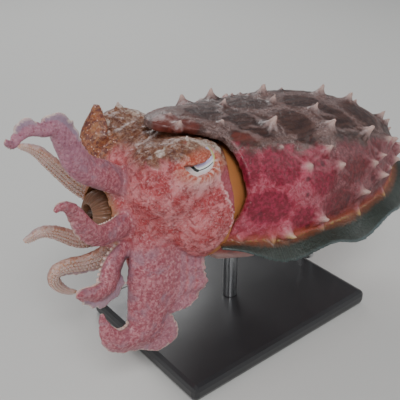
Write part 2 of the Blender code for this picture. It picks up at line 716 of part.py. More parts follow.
def lid_opening(side):
    """A smile-shaped hole through the lid, with its corners turned up."""
    axis, back, up = eye_axes(side)
    centre = eye_place(side)
    rings = []
    count = 9
    for i in range(count):
        t = -1 + 2 * i / (count - 1)
        lower = -3.6 + 4.4 * t * t + 0.9 * t
        upper = -0.1 + 1.6 * t * t + 0.9 * t
        ring = []
        corners = ((lower, 0.45, 1.0), (lower, 2.1, 1.25), (upper, 2.1, 1.25), (upper, 0.45, 1.0))
        for rise, out, spread in corners:
            across = back * ((6.9 * t + 0.5) * spread * MM) + up * (rise * spread * MM)
            ring.append(centre + axis * (EYE_RADIUS * out) + across)
        rings.append(ring)
    return loft(rings, "lid_opening")


def make_eyes(material):
    for side, name in ((1, "eye_left"), (-1, "eye_right")):
        bm = bmesh.new()
        bmesh.ops.create_uvsphere(bm, u_segments=16, v_segments=10, radius=EYE_RADIUS)
        bmesh.ops.translate(bm, vec=eye_place(side), verts=bm.verts)
        object_from(bm, name, material)


def rear_cutter():
    """Everything behind the leaning plane where the head meets the neck, up to the neck's top."""
    reach = 60 * MM
    rings = []
    for back in (0.0, reach):
        ring = []
        for y, rise in ((-reach, -reach), (reach, -reach), (reach, REAR_TOP), (-reach, REAR_TOP)):
            ring.append(Vector((HEAD_REAR_X - HEAD_REAR_LEAN * rise + back, y, NECK_MIDDLE_Z + rise)))
        rings.append(ring)
    return loft(rings, "rear_cutter")


def make_head(materials):
    forms = head_forms()
    bm = bmesh.new()
    for form in forms:
        bm.from_mesh(form.data)
        bpy.data.objects.remove(form)
    head = object_from(bm, "head", materials["head"])
    remesh = head.modifiers.new("blend", "REMESH")
    remesh.mode = "VOXEL"
    remesh.voxel_size = HEAD_VOXEL
    soften = head.modifiers.new("soften", "SMOOTH")
    soften.factor = 0.5
    soften.iterations = 14
    apply_modifiers(head)
    faces = sum(len(face.vertices) - 2 for face in head.data.polygons)
    thin_out = head.modifiers.new("thin_out", "DECIMATE")
    thin_out.ratio = HEAD_TRIANGLES / faces
    apply_modifiers(head)
    combine(head, brow_papillae(), "UNION")
    cutters = [arm_clearance(arm) for arm in ARMS.values()]
    cutters.append(mantle_shell("mantle_clearance", GAP))
    cutters.append(rear_cutter())
    cutters.append(funnel_tube("funnel_clearance", GAP * 1.4, closed=True))
    cutters.append(ellipsoid(CROWN_PLACE, MOUTH_ROOM, "mouth_clearance", 20, 12))
    for side in (1, -1):
        cutters.append(lid_opening(side))
        eye_room = Vector((1, 1, 1)) * (EYE_RADIUS + GAP)
        cutters.append(ellipsoid(eye_place(side), eye_room, "eye_clearance", 16, 10))
    combine(head, cutters, "DIFFERENCE")
    return head


# Mouth and funnel

def make_mouth(materials):
    """The ring of folded lips between the arms, and the dark point of the beak in it."""
    rings = []
    for x, radius in LIP_PROFILE:
        ring = []
        for i in range(2 * LIP_FOLDS):
            turn = math.pi * i / LIP_FOLDS
            fold = 1.0 if x > 0 else 1 - LIP_FOLD_DEPTH * math.cos(LIP_FOLDS * turn)
            across = Vector((0, math.cos(turn), math.sin(turn))) * (radius * fold)
            ring.append(CROWN_PLACE + (Vector((x, 0, 0)) + across) * MM)
        rings.append(ring)
    loft(rings, "mouth_lips", materials["mouth"])
    beak = []
    sides = 12
    for x, radius in BEAK_PROFILE:
        droop = BEAK_DROOP if x == BEAK_PROFILE[-1][0] else 0.0
        ring = []
        for i in range(sides):
            turn = 2 * math.pi * i / sides
            across = Vector((0, 0.75 * math.cos(turn), math.sin(turn))) * (radius * MM)
            ring.append(CROWN_PLACE + Vector((x * MM, 0, -droop)) + across)
        beak.append(ring)
    loft(beak, "beak", materials["beak"])


def funnel_ring(section, grow):
    """An oval section of the funnel, grown all round."""
    x, z, wide, tall = (size * MM for size in section)
    sides = 16
    points = []
    for i in range(sides):
        turn = 2 * math.pi * i / sides
        points.append(Vector((x, math.cos(turn) * (wide + grow), z + math.sin(turn) * (tall + grow))))
    return points


def funnel_tube(name, grow=0.0, closed=False, material=None):
    """The funnel under the head: flat where it leaves the mantle, round at its open end."""
    outer = [funnel_ring(section, grow) for section in FUNNEL_SECTIONS]
    inner = [funnel_ring(section, -FUNNEL_WALL) for section in FUNNEL_SECTIONS[2:]]
    if closed:
        outer.append([point + Vector((-5 * MM, 0, 0)) for point in outer[-1]])
        return loft(outer, name, material)
    lip = [a.lerp(b, 0.5) + Vector((-0.6 * MM, 0, 0)) for a, b in zip(outer[-1], inner[-1])]
    return loft([*outer, lip, *inner[::-1]], name, material)


# Stand

def body_matrix():
    turn = Matrix.Rotation(BODY_PITCH, 4, "Y") @ Matrix.Rotation(BODY_ROLL, 4, "X")
    return Matrix.Translation(BODY_PLACE) @ turn


def rod_foot(x):
    """Where a rod's axis stands in the world, and the height at which it enters the belly."""
    return body_matrix() @ mantle_section(x, -math.pi / 2)


def rod_sockets():
    """Cylinders, in the animal's frame, that make room for the upright rods."""
    back = body_matrix().inverted()
    cutters = []
    for x in ROD_PLACES:
        foot = rod_foot(x)
        bm = bmesh.new()
        height = ROD_SOCKET_DEPTH + 12 * MM      # it starts clear below the belly
        bmesh.ops.create_cone(bm, cap_ends=True, segments=24, radius1=ROD_RADIUS + GAP,
                              radius2=ROD_RADIUS + GAP, depth=height)
        middle = Vector((foot.x, foot.y, foot.z + ROD_SOCKET_DEPTH + GAP - height / 2))
        bmesh.ops.translate(bm, vec=middle, verts=bm.verts)
        bmesh.ops.transform(bm, matrix=back, verts=bm.verts)
        cutters.append(object_from(bm, "rod_socket"))
    return cutters


def make_stand(materials):
    bpy.ops.mesh.primitive_cube_add(size=1, location=(0, 0, BASE_SIZE.z / 2))
    base = bpy.context.object
    base.name = "stand_base"
    base.data.transform(Matrix.Diagonal((BASE_SIZE.x, BASE_SIZE.y, BASE_SIZE.z, 1)))
    base.data.materials.append(materials["stand"])
    corners = base.modifiers.new("round_corners", "BEVEL")
    corners.limit_method = "ANGLE"
    corners.angle_limit = math.radians(60)
    corners.width = 2.5 * MM
    corners.segments = 2
    for x, name in zip(ROD_PLACES, ("stand_rod_front", "stand_rod_rear")):
        foot = rod_foot(x)
        low = BASE_SIZE.z + GAP
        high = foot.z + ROD_SOCKET_DEPTH
        bpy.ops.mesh.primitive_cylinder_add(vertices=24, radius=ROD_RADIUS, depth=high - low,
                                            location=(foot.x, foot.y, (low + high) / 2))
        rod = bpy.context.object
        rod.name = name
        rod.data.shade_smooth()
        rod.data.set_sharp_from_angle(angle=math.radians(40))
        rod.data.materials.append(materials["rod"])


def main():
    for obj in list(bpy.data.objects):
        bpy.data.objects.remove(obj)
    materials = make_materials()
    make_mantle(materials, rod_sockets())
    make_fin(1, "fin_left", materials["fin"])
    make_fin(-1, "fin_right", materials["fin"])
    make_neck(materials["neck"])
    make_head(materials)
    make_eyes(materials["eye"])
    make_mouth(materials)
    funnel_tube("funnel", material=materials["arm"])
    make_arms(materials)
    pose = bpy.data.objects.new("cuttlefish_pose", None)
    pose.matrix_world = body_matrix()
    bpy.context.scene.collection.objects.link(pose)
    for obj in list(bpy.data.objects):
        if obj.type == "MESH":
            obj.parent = pose
    make_stand(materials)
    group = bpy.data.collections.new("broadclub_cuttlefish")
    bpy.context.scene.collection.children.link(group)
    for obj in list(bpy.data.objects):
        for owner in list(obj.users_collection):
            owner.objects.unlink(obj)
        group.objects.link(obj)


main()
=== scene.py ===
import math
import random
import re

import bpy
import numpy as np
from mathutils import Matrix, Vector
from mathutils.kdtree import KDTree


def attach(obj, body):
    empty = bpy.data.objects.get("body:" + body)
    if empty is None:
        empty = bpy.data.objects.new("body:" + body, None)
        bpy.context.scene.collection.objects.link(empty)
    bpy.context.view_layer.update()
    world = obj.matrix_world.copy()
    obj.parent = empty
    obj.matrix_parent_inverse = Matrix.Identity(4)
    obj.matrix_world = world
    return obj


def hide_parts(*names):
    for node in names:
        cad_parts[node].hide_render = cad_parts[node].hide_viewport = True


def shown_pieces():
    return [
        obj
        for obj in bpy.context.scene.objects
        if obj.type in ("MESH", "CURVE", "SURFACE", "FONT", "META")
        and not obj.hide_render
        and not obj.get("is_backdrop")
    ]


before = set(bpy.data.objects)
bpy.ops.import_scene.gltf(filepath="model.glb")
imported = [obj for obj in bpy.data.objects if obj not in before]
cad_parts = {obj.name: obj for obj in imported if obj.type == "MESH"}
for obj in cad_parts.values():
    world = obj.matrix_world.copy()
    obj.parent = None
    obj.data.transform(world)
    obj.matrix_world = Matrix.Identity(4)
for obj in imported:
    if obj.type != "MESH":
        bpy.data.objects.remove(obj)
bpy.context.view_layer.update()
mm = 0.001

# the animal is built level in its own frame, in mm: -x forward, -y its left, +z its back
# then it is turned and lifted over the stand
bodyPose = {"pitch": 9, "roll": 3, "place": (-0.032, 0.0, 0.070)}
bodyMatrix = (Matrix.Translation(bodyPose["place"])
              @ Matrix.Rotation(math.radians(bodyPose["pitch"]), 4, "Y")
              @ Matrix.Rotation(math.radians(bodyPose["roll"]), 4, "X"))


# Camera, light and floor

view = {"place": (-0.18086, -0.19864, 0.20620), "aim": (-0.01425, 0.00709, 0.06424), "lens": 58.5}


def makeCamera():
    place, aim = Vector(view["place"]), Vector(view["aim"])
    bpy.ops.object.camera_add(location=place)
    camera = bpy.context.object
    camera.name = "photoCamera"
    camera.rotation_euler = (aim - place).to_track_quat("-Z", "Y").to_euler()
    camera.data.lens = view["lens"]
    camera.data.clip_start = 0.01
    bpy.context.scene.camera = camera


# place, aim, width of the lamp in metres and its power
studioLamps = {
    "keyLamp": ((-0.45, -0.75, 0.95), (0, 0, 0.07), 0.50, 9.5),
    "fillLamp": ((0.85, -0.55, 0.55), (0, 0, 0.07), 0.70, 2.4),
    "backLamp": ((0.35, 0.85, 0.75), (0, 0, 0.09), 0.50, 5.0),
    "frontLamp": ((-0.80, 0.10, 0.35), (-0.05, 0, 0.08), 0.40, 1.6),
}


def makeStudio():
    for name, (place, aim, width, power) in studioLamps.items():
        bpy.ops.object.light_add(type="AREA", location=place)
        lamp = bpy.context.object
        lamp.name = name
        lamp.rotation_euler = (Vector(aim) - Vector(place)).to_track_quat("-Z", "Y").to_euler()
        lamp.data.size = width
        lamp.data.energy = power
    world = bpy.data.worlds.new("softSky")
    world.use_nodes = True
    world.node_tree.nodes["Background"].inputs["Color"].default_value = (0.80, 0.82, 0.85, 1)
    world.node_tree.nodes["Background"].inputs["Strength"].default_value = 0.28
    bpy.context.scene.world = world
    bpy.ops.mesh.primitive_plane_add(size=6)
    floor = bpy.context.object
    floor.name = "floor"
    floor.data.materials.append(startMaterial("paleFloor", baseColor=(0.62, 0.62, 0.60), roughness=0.75))
    floor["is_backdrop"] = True


# Helpers for modelling

def deselectAll():
    if bpy.context.object and bpy.context.object.mode != "OBJECT":
        bpy.ops.object.mode_set(mode="OBJECT")
    bpy.ops.object.select_all(action="DESELECT")


def pick(*pieces):
    deselectAll()
    for piece in pieces:
        piece.select_set(True)
    bpy.context.view_layer.objects.active = pieces[0]


def applyModifiers(piece):
    pick(piece)
    for modifier in list(piece.modifiers):
        bpy.ops.object.modifier_apply(modifier=modifier.name)


def joinAll(name, pieces):
    pick(*pieces)
    bpy.ops.object.transform_apply(location=True, rotation=True, scale=True)
    if len(pieces) > 1:
        bpy.ops.object.join()
    joined = bpy.context.object
    joined.name = joined.data.name = name
    return joined


def pointsOf(piece):
    points = np.empty(len(piece.data.vertices) * 3, np.float32)
    piece.data.vertices.foreach_get("co", points)
    return points.reshape(-1, 3).astype(float) / mm


def normalsOf(piece):
    normals = np.empty(len(piece.data.vertices) * 3, np.float32)
    piece.data.vertices.foreach_get("normal", normals)
    return normals.reshape(-1, 3).astype(float)


def movePoints(piece, points):
    piece.data.vertices.foreach_set("co", (points * mm).astype(np.float32).ravel())
    piece.data.update()


def raiseSkin(piece, heights):
    movePoints(piece, pointsOf(piece) + normalsOf(piece) * heights[:, None])


def fold(far, height, width):
    # a rounded fold where that distance is none
    return height * np.exp(-(far / width) ** 2)


def blendSkin(piece, voxel, softness):
    remesh = piece.modifiers.new("blend", "REMESH")
    remesh.mode = "VOXEL"
    remesh.voxel_size = voxel * mm
    soften = piece.modifiers.new("soften", "SMOOTH")
    soften.factor = 0.5
    soften.iterations = softness
    applyModifiers(piece)


def crinkle(piece, size, depth, group=""):
    # wrinkles of that size and depth in mm
    texture = bpy.data.textures.new("wrinkles", "CLOUDS")
    texture.noise_scale = size * mm
    texture.noise_depth = 1
    wrinkles = piece.modifiers.new("wrinkles", "DISPLACE")
    wrinkles.texture = texture
    wrinkles.strength = depth * mm
    wrinkles.vertex_group = group
    applyModifiers(piece)


def thinOut(piece, most=192000):
    # fewer faces where the skin is smooth
    triangles = sum(len(face.vertices) - 2 for face in piece.data.polygons)
    fewer = piece.modifiers.new("fewer", "DECIMATE")
    fewer.ratio = min(1, most / triangles)
    applyModifiers(piece)


def weigh(piece, name, weights, steps=12):
    # vertex group from an array of weights
    group = piece.vertex_groups.new(name=name)
    level = np.round(np.clip(weights, 0, 1) * steps).astype(int)
    for step in range(1, steps + 1):
        group.add(np.nonzero(level == step)[0].tolist(), step / steps, "REPLACE")


def cutAway(piece, cutter):
    cut = piece.modifiers.new("cut", "BOOLEAN")
    cut.operation = "DIFFERENCE"
    cut.solver = "MANIFOLD"
    cut.object = cutter
    applyModifiers(piece)
    bpy.data.objects.remove(cutter)


def wrapGrid(name, columns, rows, place, closedEnds=True):
    # a flat grid rolled up: place gives the points in mm for the shares around and along
    deselectAll()
    bpy.ops.mesh.primitive_grid_add(x_subdivisions=columns, y_subdivisions=rows, size=2)
    grid = bpy.context.object
    grid.name = grid.data.name = name
    flat = pointsOf(grid) * mm
    around, along = (flat[:, 0] + 1) / 2, (flat[:, 1] + 1) / 2
    movePoints(grid, place(around, along))
    bpy.ops.object.mode_set(mode="EDIT")
    bpy.ops.mesh.select_all(action="SELECT")
    bpy.ops.mesh.remove_doubles(threshold=1e-6)
    if closedEnds:
        bpy.ops.mesh.select_all(action="DESELECT")
        bpy.ops.mesh.select_non_manifold()
        bpy.ops.mesh.fill_holes(sides=0)
    bpy.ops.mesh.select_all(action="SELECT")
    bpy.ops.mesh.normals_make_consistent(inside=False)
    bpy.ops.object.mode_set(mode="OBJECT")
    return grid


def ball(place, radii, segments=40, rings=26):
    deselectAll()
    bpy.ops.mesh.primitive_uv_sphere_add(segments=segments, ring_count=rings, radius=1,
                                         location=Vector(place) * mm, scale=Vector(radii) * mm)
    return bpy.context.object


def unit(vectors):
    return vectors / np.linalg.norm(vectors, axis=-1, keepdims=True)


def smooth(low, high, value):
    t = np.clip((value - low) / (high - low), 0, 1)
    return t * t * (3 - 2 * t)


def setMasks(piece, **masks):
    for name, values in masks.items():
        attribute = piece.data.attributes.new(name, "FLOAT", "POINT")
        attribute.data.foreach_set("value", np.asarray(values, np.float32))


def nearest(points, places):
    # the number of the place nearest to each point, and how far it is
    tree = KDTree(len(places))
    for i, place in enumerate(places):
        tree.insert(place, i)
    tree.balance()
    found = [tree.find(point)[1:] for point in points]
    return np.array([index for index, _ in found]), np.array([far for _, far in found])


def finishPiece(piece, material, nodes=()):
    # the finished mesh goes to its place over the stand, and its object stays at the origin
    piece.data.transform(bodyMatrix)
    piece.data.materials.clear()
    piece.data.materials.append(material)
    piece.data.shade_smooth()
    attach(piece, "root")
    if nodes:
        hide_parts(*nodes)


# Ways to build materials

making = {}     # tree and shader of the material that is being built
flesh = {"subsurfaceRadius": (1.0, 0.35, 0.25), "subsurfaceScale": 0.002,
         "coatWeight": 0.15, "coatRoughness": 0.25}


class Value:
    # what a node gives; arithmetic with it adds nodes
    def __init__(self, socket):
        self.socket = socket

    def __add__(self, other):
        return calc("ADD", self, other)

    def __sub__(self, other):
        return calc("SUBTRACT", self, other)

    def __mul__(self, other):
        return calc("MULTIPLY", self, other)

    def __truediv__(self, other):
        return calc("DIVIDE", self, other)


def startMaterial(name, **settings):
    material = bpy.data.materials.new(name)
    material.use_nodes = True
    making["tree"] = material.node_tree
    making["shader"] = material.node_tree.nodes["Principled BSDF"]
    shade(**settings)
    return material


def shade(**settings):
    # coatWeight stands for Coat Weight
    for key, value in settings.items():
        words = re.sub("([A-Z])", r" \1", key).title()
        put(making["shader"].inputs[words], value)


def put(socket, value):
    if isinstance(value, Value):
        making["tree"].links.new(value.socket, socket)
    else:
        socket.default_value = (*value, 1) if socket.type == "RGBA" else value


def addNode(kind, inputs, output=0, **settings):
    node = making["tree"].nodes.new("ShaderNode" + kind)
    for key, value in settings.items():
        setattr(node, key, value)
    for key, value in inputs.items():
        put(node.inputs[key], value)
    return Value(node.outputs[output])


def mask(name):
    return addNode("Attribute", {}, "Fac", attribute_name=name)


def noise(size, detail=3.0, twist=0.0, stretch=(1, 1, 1)):
    # size in mm
    where = addNode("Mapping", {"Vector": addNode("TexCoord", {}, "Object"), "Scale": stretch})
    return addNode("TexNoise", {"Vector": where, "Scale": 1000 / size, "Detail": detail, "Distortion": twist})


def veins(size, width):
    # crooked lines that run where the noise is half way
    return span(calc("ABSOLUTE", noise(size, 3, 1.2) - 0.5), width, width * 0.15)


def spots(size):
    # distances to scattered points
    return addNode("TexVoronoi", {"Vector": addNode("TexCoord", {}, "Object"), "Scale": 1000 / size})


def calc(operation, *values):
    return addNode("Math", dict(enumerate(values)), operation=operation)


def span(value, low, high, start=0.0, end=1.0):
    ends = {"From Min": low, "From Max": high, "To Min": start, "To Max": end}
    return addNode("MapRange", {"Value": value, **ends}, interpolation_type="SMOOTHSTEP")


def layer(share, under, over):
    return addNode("Mix", {0: share, 6: under, 7: over}, 2, data_type="RGBA")


def relief(height, depth):
    # depth in mm
    return addNode("Bump", {"Height": height, "Distance": depth * mm, "Strength": 1.0})


# Mantle and fins

mantle = {
    "tail": 136.5, "rise": 3.0, "slope": 0.085, "rim": 7.5, "widest": 42,
    "lobe": (20.5, 17.5, 0.3), "lobeSquareness": 10, "droop": (7, -2), "shoulder": (12, 24),
    "corner": (12.5, -20, 30),
    "halfWidth": 43, "back": 37.5, "belly": 27, "wall": 3.0, "recess": 11, "lipStep": 1.2,
    "voxel": 0.62,
    # height and width of the folds along the pale lines and round the papillae
    "lineFold": (0.22, 1.3), "footFold": (0.30, 4.0),
    # size and depth
    "wrinkles": ((3.4, 0.50), (1.5, 0.26)),
}
fin = {"line": -15, "width": 12.5, "root": 2.6, "edge": 1.15, "wave": 2.6, "waves": 3.5,
       "start": 0.012, "span": 0.975, "rootDepth": 2.0}


def mantleSizes(x):
    before = (mantle["widest"] - x) / (mantle["widest"] - mantle["rim"])
    after = np.clip((x - mantle["widest"]) / (mantle["tail"] - mantle["widest"]), 0, 1)
    front = x < mantle["widest"]
    width = np.where(front, 1 - 0.17 * before ** 2, (1 - after ** 2.4) ** 0.62)
    back = np.where(front, 1 + 0.05 * before ** 2, (1 - after ** 2.5) ** 0.64)
    belly = np.where(front, 1 - 0.11 * before ** 2, (1 - after ** 2.2) ** 0.70)
    return mantle["halfWidth"] * width, mantle["back"] * back, mantle["belly"] * belly


def mantleAxis(x):
    # bends down in the lobe
    droop, root = mantle["droop"]
    bend = np.maximum(0, root - x) / (root - mantle["rim"] + mantle["lobe"][0] + mantle["shoulder"][0])
    return mantle["rise"] + mantle["slope"] * np.maximum(0, x) - droop * bend ** 2


def mantleSection(x, angle, inset=0.0):
    # angle 0 is the left side and a quarter turn is the back
    width, back, belly = mantleSizes(x)
    height = np.where(angle > 0, back, belly)
    squareness = np.where(angle > 0, 0.80, 0.92)
    c, s = np.cos(angle), np.sin(angle)
    y = -np.sign(c) * np.abs(c) ** squareness * (width - inset)
    z = np.sign(s) * np.abs(s) ** 0.94 * (height - inset) + mantleAxis(x)
    return np.stack(np.broadcast_arrays(x, y, z), axis=-1)


def leftTurn(angle):
    # the same height on the left side, in degrees
    turn = np.degrees(angle)
    return np.where(turn > 90, 180 - turn, np.where(turn < -90, -180 - turn, turn))


def mantleRim(angle):
    # the front edge: a lobe on the back and a forward corner low on each side
    y = mantleSection(np.full_like(angle, mantle["rim"]), angle)[..., 1]
    cornerLength, cornerAngle, cornerSpread = mantle["corner"]
    corner = cornerLength * np.exp(-((leftTurn(angle) - cornerAngle) / cornerSpread) ** 2)
    lobeLength, lobeSpread, lobeShift = mantle["lobe"]
    lobe = lobeLength * np.exp(-np.abs((y - lobeShift) / lobeSpread) ** mantle["lobeSquareness"])
    lobe = lobe + mantle["shoulder"][0] * np.exp(-(y / mantle["shoulder"][1]) ** 2)
    return mantle["rim"] - np.where(angle < 0, corner, np.maximum(corner, lobe))


def mantlePoint(share, angle, grow=0.0):
    front = mantleRim(angle)
    return mantleSection(front + (mantle["tail"] - front) * share, angle, -grow)


def mantleNormal(share, angle):
    step = 0.004
    along = mantlePoint(share + step, angle) - mantlePoint(share - step, angle)
    around = mantlePoint(share, angle + step) - mantlePoint(share, angle - step)
    normal = unit(np.cross(around, along))
    here = mantlePoint(share, angle)
    out = here - np.stack([here[..., 0], 0 * here[..., 0], mantleAxis(here[..., 0])], axis=-1)
    return normal * np.sign(np.sum(normal * out, axis=-1, keepdims=True))


def skinSpot(share, turn):
    # point, normal and backward direction at a share of the length and a turn in degrees
    at, angle = np.array([share]), np.array([math.radians(turn)])
    along = unit(mantlePoint(at + 0.01, angle) - mantlePoint(at - 0.01, angle))
    return mantlePoint(at, angle)[0], mantleNormal(at, angle)[0], along[0]


def mantleForm(name, grow=0.0, columns=150, rows=130):
    # from the floor of the front recess over the rim and back to the tail
    turns = 0.11

    def place(around, along):
        angle = (around * 2 - 1) * math.pi
        inside = along < turns
        depth = np.clip(1 - along / turns, 0, 1)
        lip = mantleRim(angle)
        step = mantle["lipStep"]
        x = lip + step + (mantle["rim"] + mantle["recess"] - grow - lip - step) * depth
        inner = mantleSection(x, angle, mantle["wall"] + grow)
        share = np.clip((along - turns) / (1 - turns), 0, 1)
        share = np.sin(share * math.pi / 2) ** 0.9 * 0.9985
        outer = mantlePoint(share, angle, grow)
        return np.where(inside[:, None], inner, outer)

    return wrapGrid(name, columns, rows, place)


def finWay(share, out):
    # mm out from the foot of the fin, whose root lies inside the mantle
    width = fin["width"] * (0.2 + 0.8 * np.sin(math.pi * np.minimum(1, 0.03 + share * 0.88)) ** 0.6)
    return width * out - fin["rootDepth"] * (1 - out)


def finSheet(share, out):
    # middle of the blade of the left fin, from its root at 0 to its edge at 1
    angle = np.full_like(share, math.radians(fin["line"] + 5))
    root, normal = mantlePoint(share, angle), mantleNormal(share, angle)
    reachOut = unit(normal * (1.2, 1, 0.4) + (0, 0, -0.12))
    points = root + reachOut * finWay(share, out)[:, None]
    wave = fin["wave"] * out ** 1.6 * np.sin(2 * math.pi * fin["waves"] * share + 0.6)
    points[:, 2] += wave - 1.5 * out ** 2
    return points


def finForm(side):
    def place(around, along):
        # two faces of a blade, from the root out to the edge and back
        out = 1 - np.abs(around * 2 - 1)
        face = np.where(around < 0.5, 1, -1)
        half = (fin["root"] * (1 - out) + fin["edge"] * out) / 2 * np.minimum(1, (1 - out) * 14 + 0.05)
        points = finSheet(fin["start"] + fin["span"] * along, out)
        points[:, 2] += half * face
        points[:, 1] *= side
        return points

    return wrapGrid("fin", 36, 200, place)


# rows of papillae: angle round the mantle at the first and the last, shares along it, height and
# foot radius in mm, and whether the row comes again on the other side
spineRows = (
    (69, 37, (0.272, 0.412, 0.568, 0.744), 5.2, 3.3, False),
    (122, 78, (0.082, 0.256, 0.463, 0.652, 0.745, 0.908), 5.2, 3.2, False),
    (138, 130, (0.34, 0.528, 0.705, 0.863), 4.6, 3.2, False),
    (36, 18, (0.228, 0.366, 0.558, 0.764), 3.2, 3.2, True),
    (-3, 24, (0.184, 0.300, 0.484, 0.604, 0.843), 6, 3.4, True),
    (-7, -5, (0.056, 0.152, 0.332, 0.515, 0.69), 4.4, 2.0, True),
)
# between the rows: angle, share, height and foot radius
smallSpines = (
    (75, 0.17, 2.2, 1.6), (86, 0.063, 2, 1.3), (94, 0.279, 3, 2), (90, 0.439, 3.2, 2),
    (76, 0.51, 3.4, 2.2), (89, 0.804, 2.6, 1.8), (63, 0.86, 3.6, 2.4), (44, 0.332, 4.2, 2.6),
    (39, 0.704, 3.8, 2.6), (28, 0.62, 3.8, 2.4), (52, 0.167, 1.4, 1.4), (112, 0.35, 1.6, 1.2),
    (111, 0.389, 1.4, 1.1), (108, 0.565, 1.5, 1.2), (104, 0.417, 1.2, 1), (118, 0.171, 1.8, 1.4),
    (14, 0.707, 2.6, 1.8), (30, 0.862, 3.2, 2.2), (0, 0.933, 3.2, 2.2), (60, 0.932, 2.8, 2),
    (115, 0.932, 2.8, 2), (72.5, 0.033, 2.8, 2),
)


def crossways(normal):
    # two directions square to the normal
    side = unit(np.cross(normal, (0.31, 0.17, 0.93)))
    return side, np.cross(normal, side)


def spine(root, normal, height, radius, lean=(0, 0, 0)):
    # a soft horn with a wide foot and a blunt tip, bent towards its lean
    root, lean = np.array(root, float), np.array(lean, float)
    side, other = crossways(normal)

    def place(around, along):
        rise = along * 1.35 - 0.35
        up = np.maximum(rise, 0)
        size = radius * (1.25 * (1 - up) ** 2.6 + 0.26) * np.sqrt(np.maximum(0.02, 1 - up ** 8))
        turn = around * 2 * math.pi
        middle = root + np.outer(rise, normal) * height + np.outer(0.35 * up ** 2, lean) * height
        return middle + (np.outer(np.cos(turn), side) + np.outer(np.sin(turn), other)) * size[:, None]

    return wrapGrid("spine", 12, 12, place)


def spinePlaces():
    draw = random.Random(7)
    places = []
    for first, last, shares, height, radius, twice in spineRows:
        for share in shares:
            angle = first + (last - first) * (share - shares[0]) / (shares[-1] - shares[0])
            size = draw.uniform(0.85, 1.15)
            places.append((share, angle, height * size, radius))
            if twice:
                places.append((share + draw.uniform(-0.02, 0.02), 180 - angle, height / size, radius))
    for angle, share, height, radius in smallSpines:
        places.append((share, angle, height, radius))
        if angle < 60:
            places.append((share + draw.uniform(-0.02, 0.02), 180 - angle, height, radius))
    return [(*skinSpot(share, angle if angle <= 180 else angle - 360)[:2], height, radius)
            for share, angle, height, radius in places]


def spineLean(height, radius):
    # the slim ones at the fin's foot hang down
    return (0.2, 0, -1.9) if radius == spineRows[-1][4] and height > 3.4 else (0.8, 0, 0.3)


def segmentDistance(points, a, b):
    line = b - a
    share = np.clip((points - a) @ line / line.dot(line), 0, 1)
    return np.linalg.norm(points - a - np.outer(share, line), axis=1)


def spineMasks(skin, spines):
    # how far each point is from the papillae and the pale lines that join them, in mm
    points = pointsOf(skin)
    roots = np.array([spine[0] for spine in spines])
    spineFar = np.full(len(points), 1e3)
    tip, ray = np.zeros(len(points)), np.zeros(len(points))
    for root, normal, height, radius in spines:
        offset = points - root
        up = offset @ normal
        flat = offset - np.outer(up, normal)
        far = np.linalg.norm(flat, axis=1) + np.maximum(0, -up - 4)
        side, other = crossways(normal)
        turn = np.arctan2(flat @ other, flat @ side)
        closer = far * 3.2 / radius < spineFar
        spineFar = np.where(closer, far * 3.2 / radius, spineFar)
        ray = np.where(closer, np.cos(turn * round(4 + radius) + root[0]), ray)
        tip = np.where((far < radius * 1.3) & (up > 0), np.maximum(tip, up / height), tip)
    wave = np.stack([np.sin(points[:, k] * 0.55 + points[:, (k + 1) % 3] * 0.37 + k) for k in range(3)],
                    axis=1)
    warped = points + wave * 1.1
    line = np.full(len(points), 1e3)
    done = set()
    for i, root in enumerate(roots):
        order = np.argsort(np.linalg.norm(roots - root, axis=1))[1:5]
        for j in order:
            if (int(j), i) in done or np.linalg.norm(roots[j] - root) > 34:
                continue
            done.add((i, int(j)))
            line = np.minimum(line, segmentDistance(warped, root, roots[j]))
    setMasks(skin, spineFar=spineFar, spineTip=tip, spineRay=ray, lineFar=line)
    return spineFar, line


# dark ovals between the pale lines: angle round the mantle, share along it, half length and half width
ovals = (
    (84, 0.045, 5.6, 4.6), (72, 0.04, 7.6, 3.6), (88, 0.205, 14, 9), (62, 0.085, 6.5, 4.5),
    (74, 0.262, 11.3, 9.2), (93, 0.371, 10.8, 7.4), (87, 0.532, 11.5, 7.6), (70, 0.382, 8, 8.6),
    (54, 0.285, 4.6, 5.4), (62, 0.487, 9.4, 12.5), (70, 0.705, 10.5, 9.5), (42, 0.6, 10, 8.2),
    (40, 0.03, 4.2, 7.2), (40, 0.14, 10.4, 7.8), (14, 0.085, 10.6, 7), (29, 0.29, 8.2, 8.6),
    (25, 0.46, 9.6, 5.8), (6, 0.385, 9, 5.6), (4, 0.235, 6.2, 4.6), (12, 0.66, 9.5, 6.5),
    (44, 0.8, 8, 8), (100, 0.675, 8.5, 7), (88, 0.86, 8, 8),
)


def ovalMask(points):
    # how far each point is from the nearest oval's middle, 1 at the oval's edge
    found = np.full(len(points), 9.0)
    for angle, share, long, wide in ovals:
        middle, normal, along = skinSpot(share, angle)
        across = np.cross(normal, along)
        for side in ((1, -1) if angle < 80 else (1,)):
            offset = points * (1, side, 1) - middle
            far = np.hypot(np.hypot(offset @ along / long, offset @ across / wide), offset @ normal / 14)
            found = np.minimum(found, far)
    return found


def finMasks(skin, points):
    shares = fin["start"] + fin["span"] * np.linspace(0, 1, 240)
    share, out = (grid.ravel() for grid in np.meshgrid(shares, np.linspace(0.05, 1, 14)))
    sheet = finSheet(share, out)
    index, gap = nearest(np.column_stack([points[:, 0], -np.abs(points[:, 1]), points[:, 2]]), sheet)
    away = finWay(share[index], out[index])
    blade = (1 - smooth(1.2, 2.0, gap)) * smooth(0.4, 1.2, away)
    setMasks(skin, inFin=blade, finOut=out[index], footFar=np.hypot(gap, np.maximum(0, away - 0.9)))
    return blade


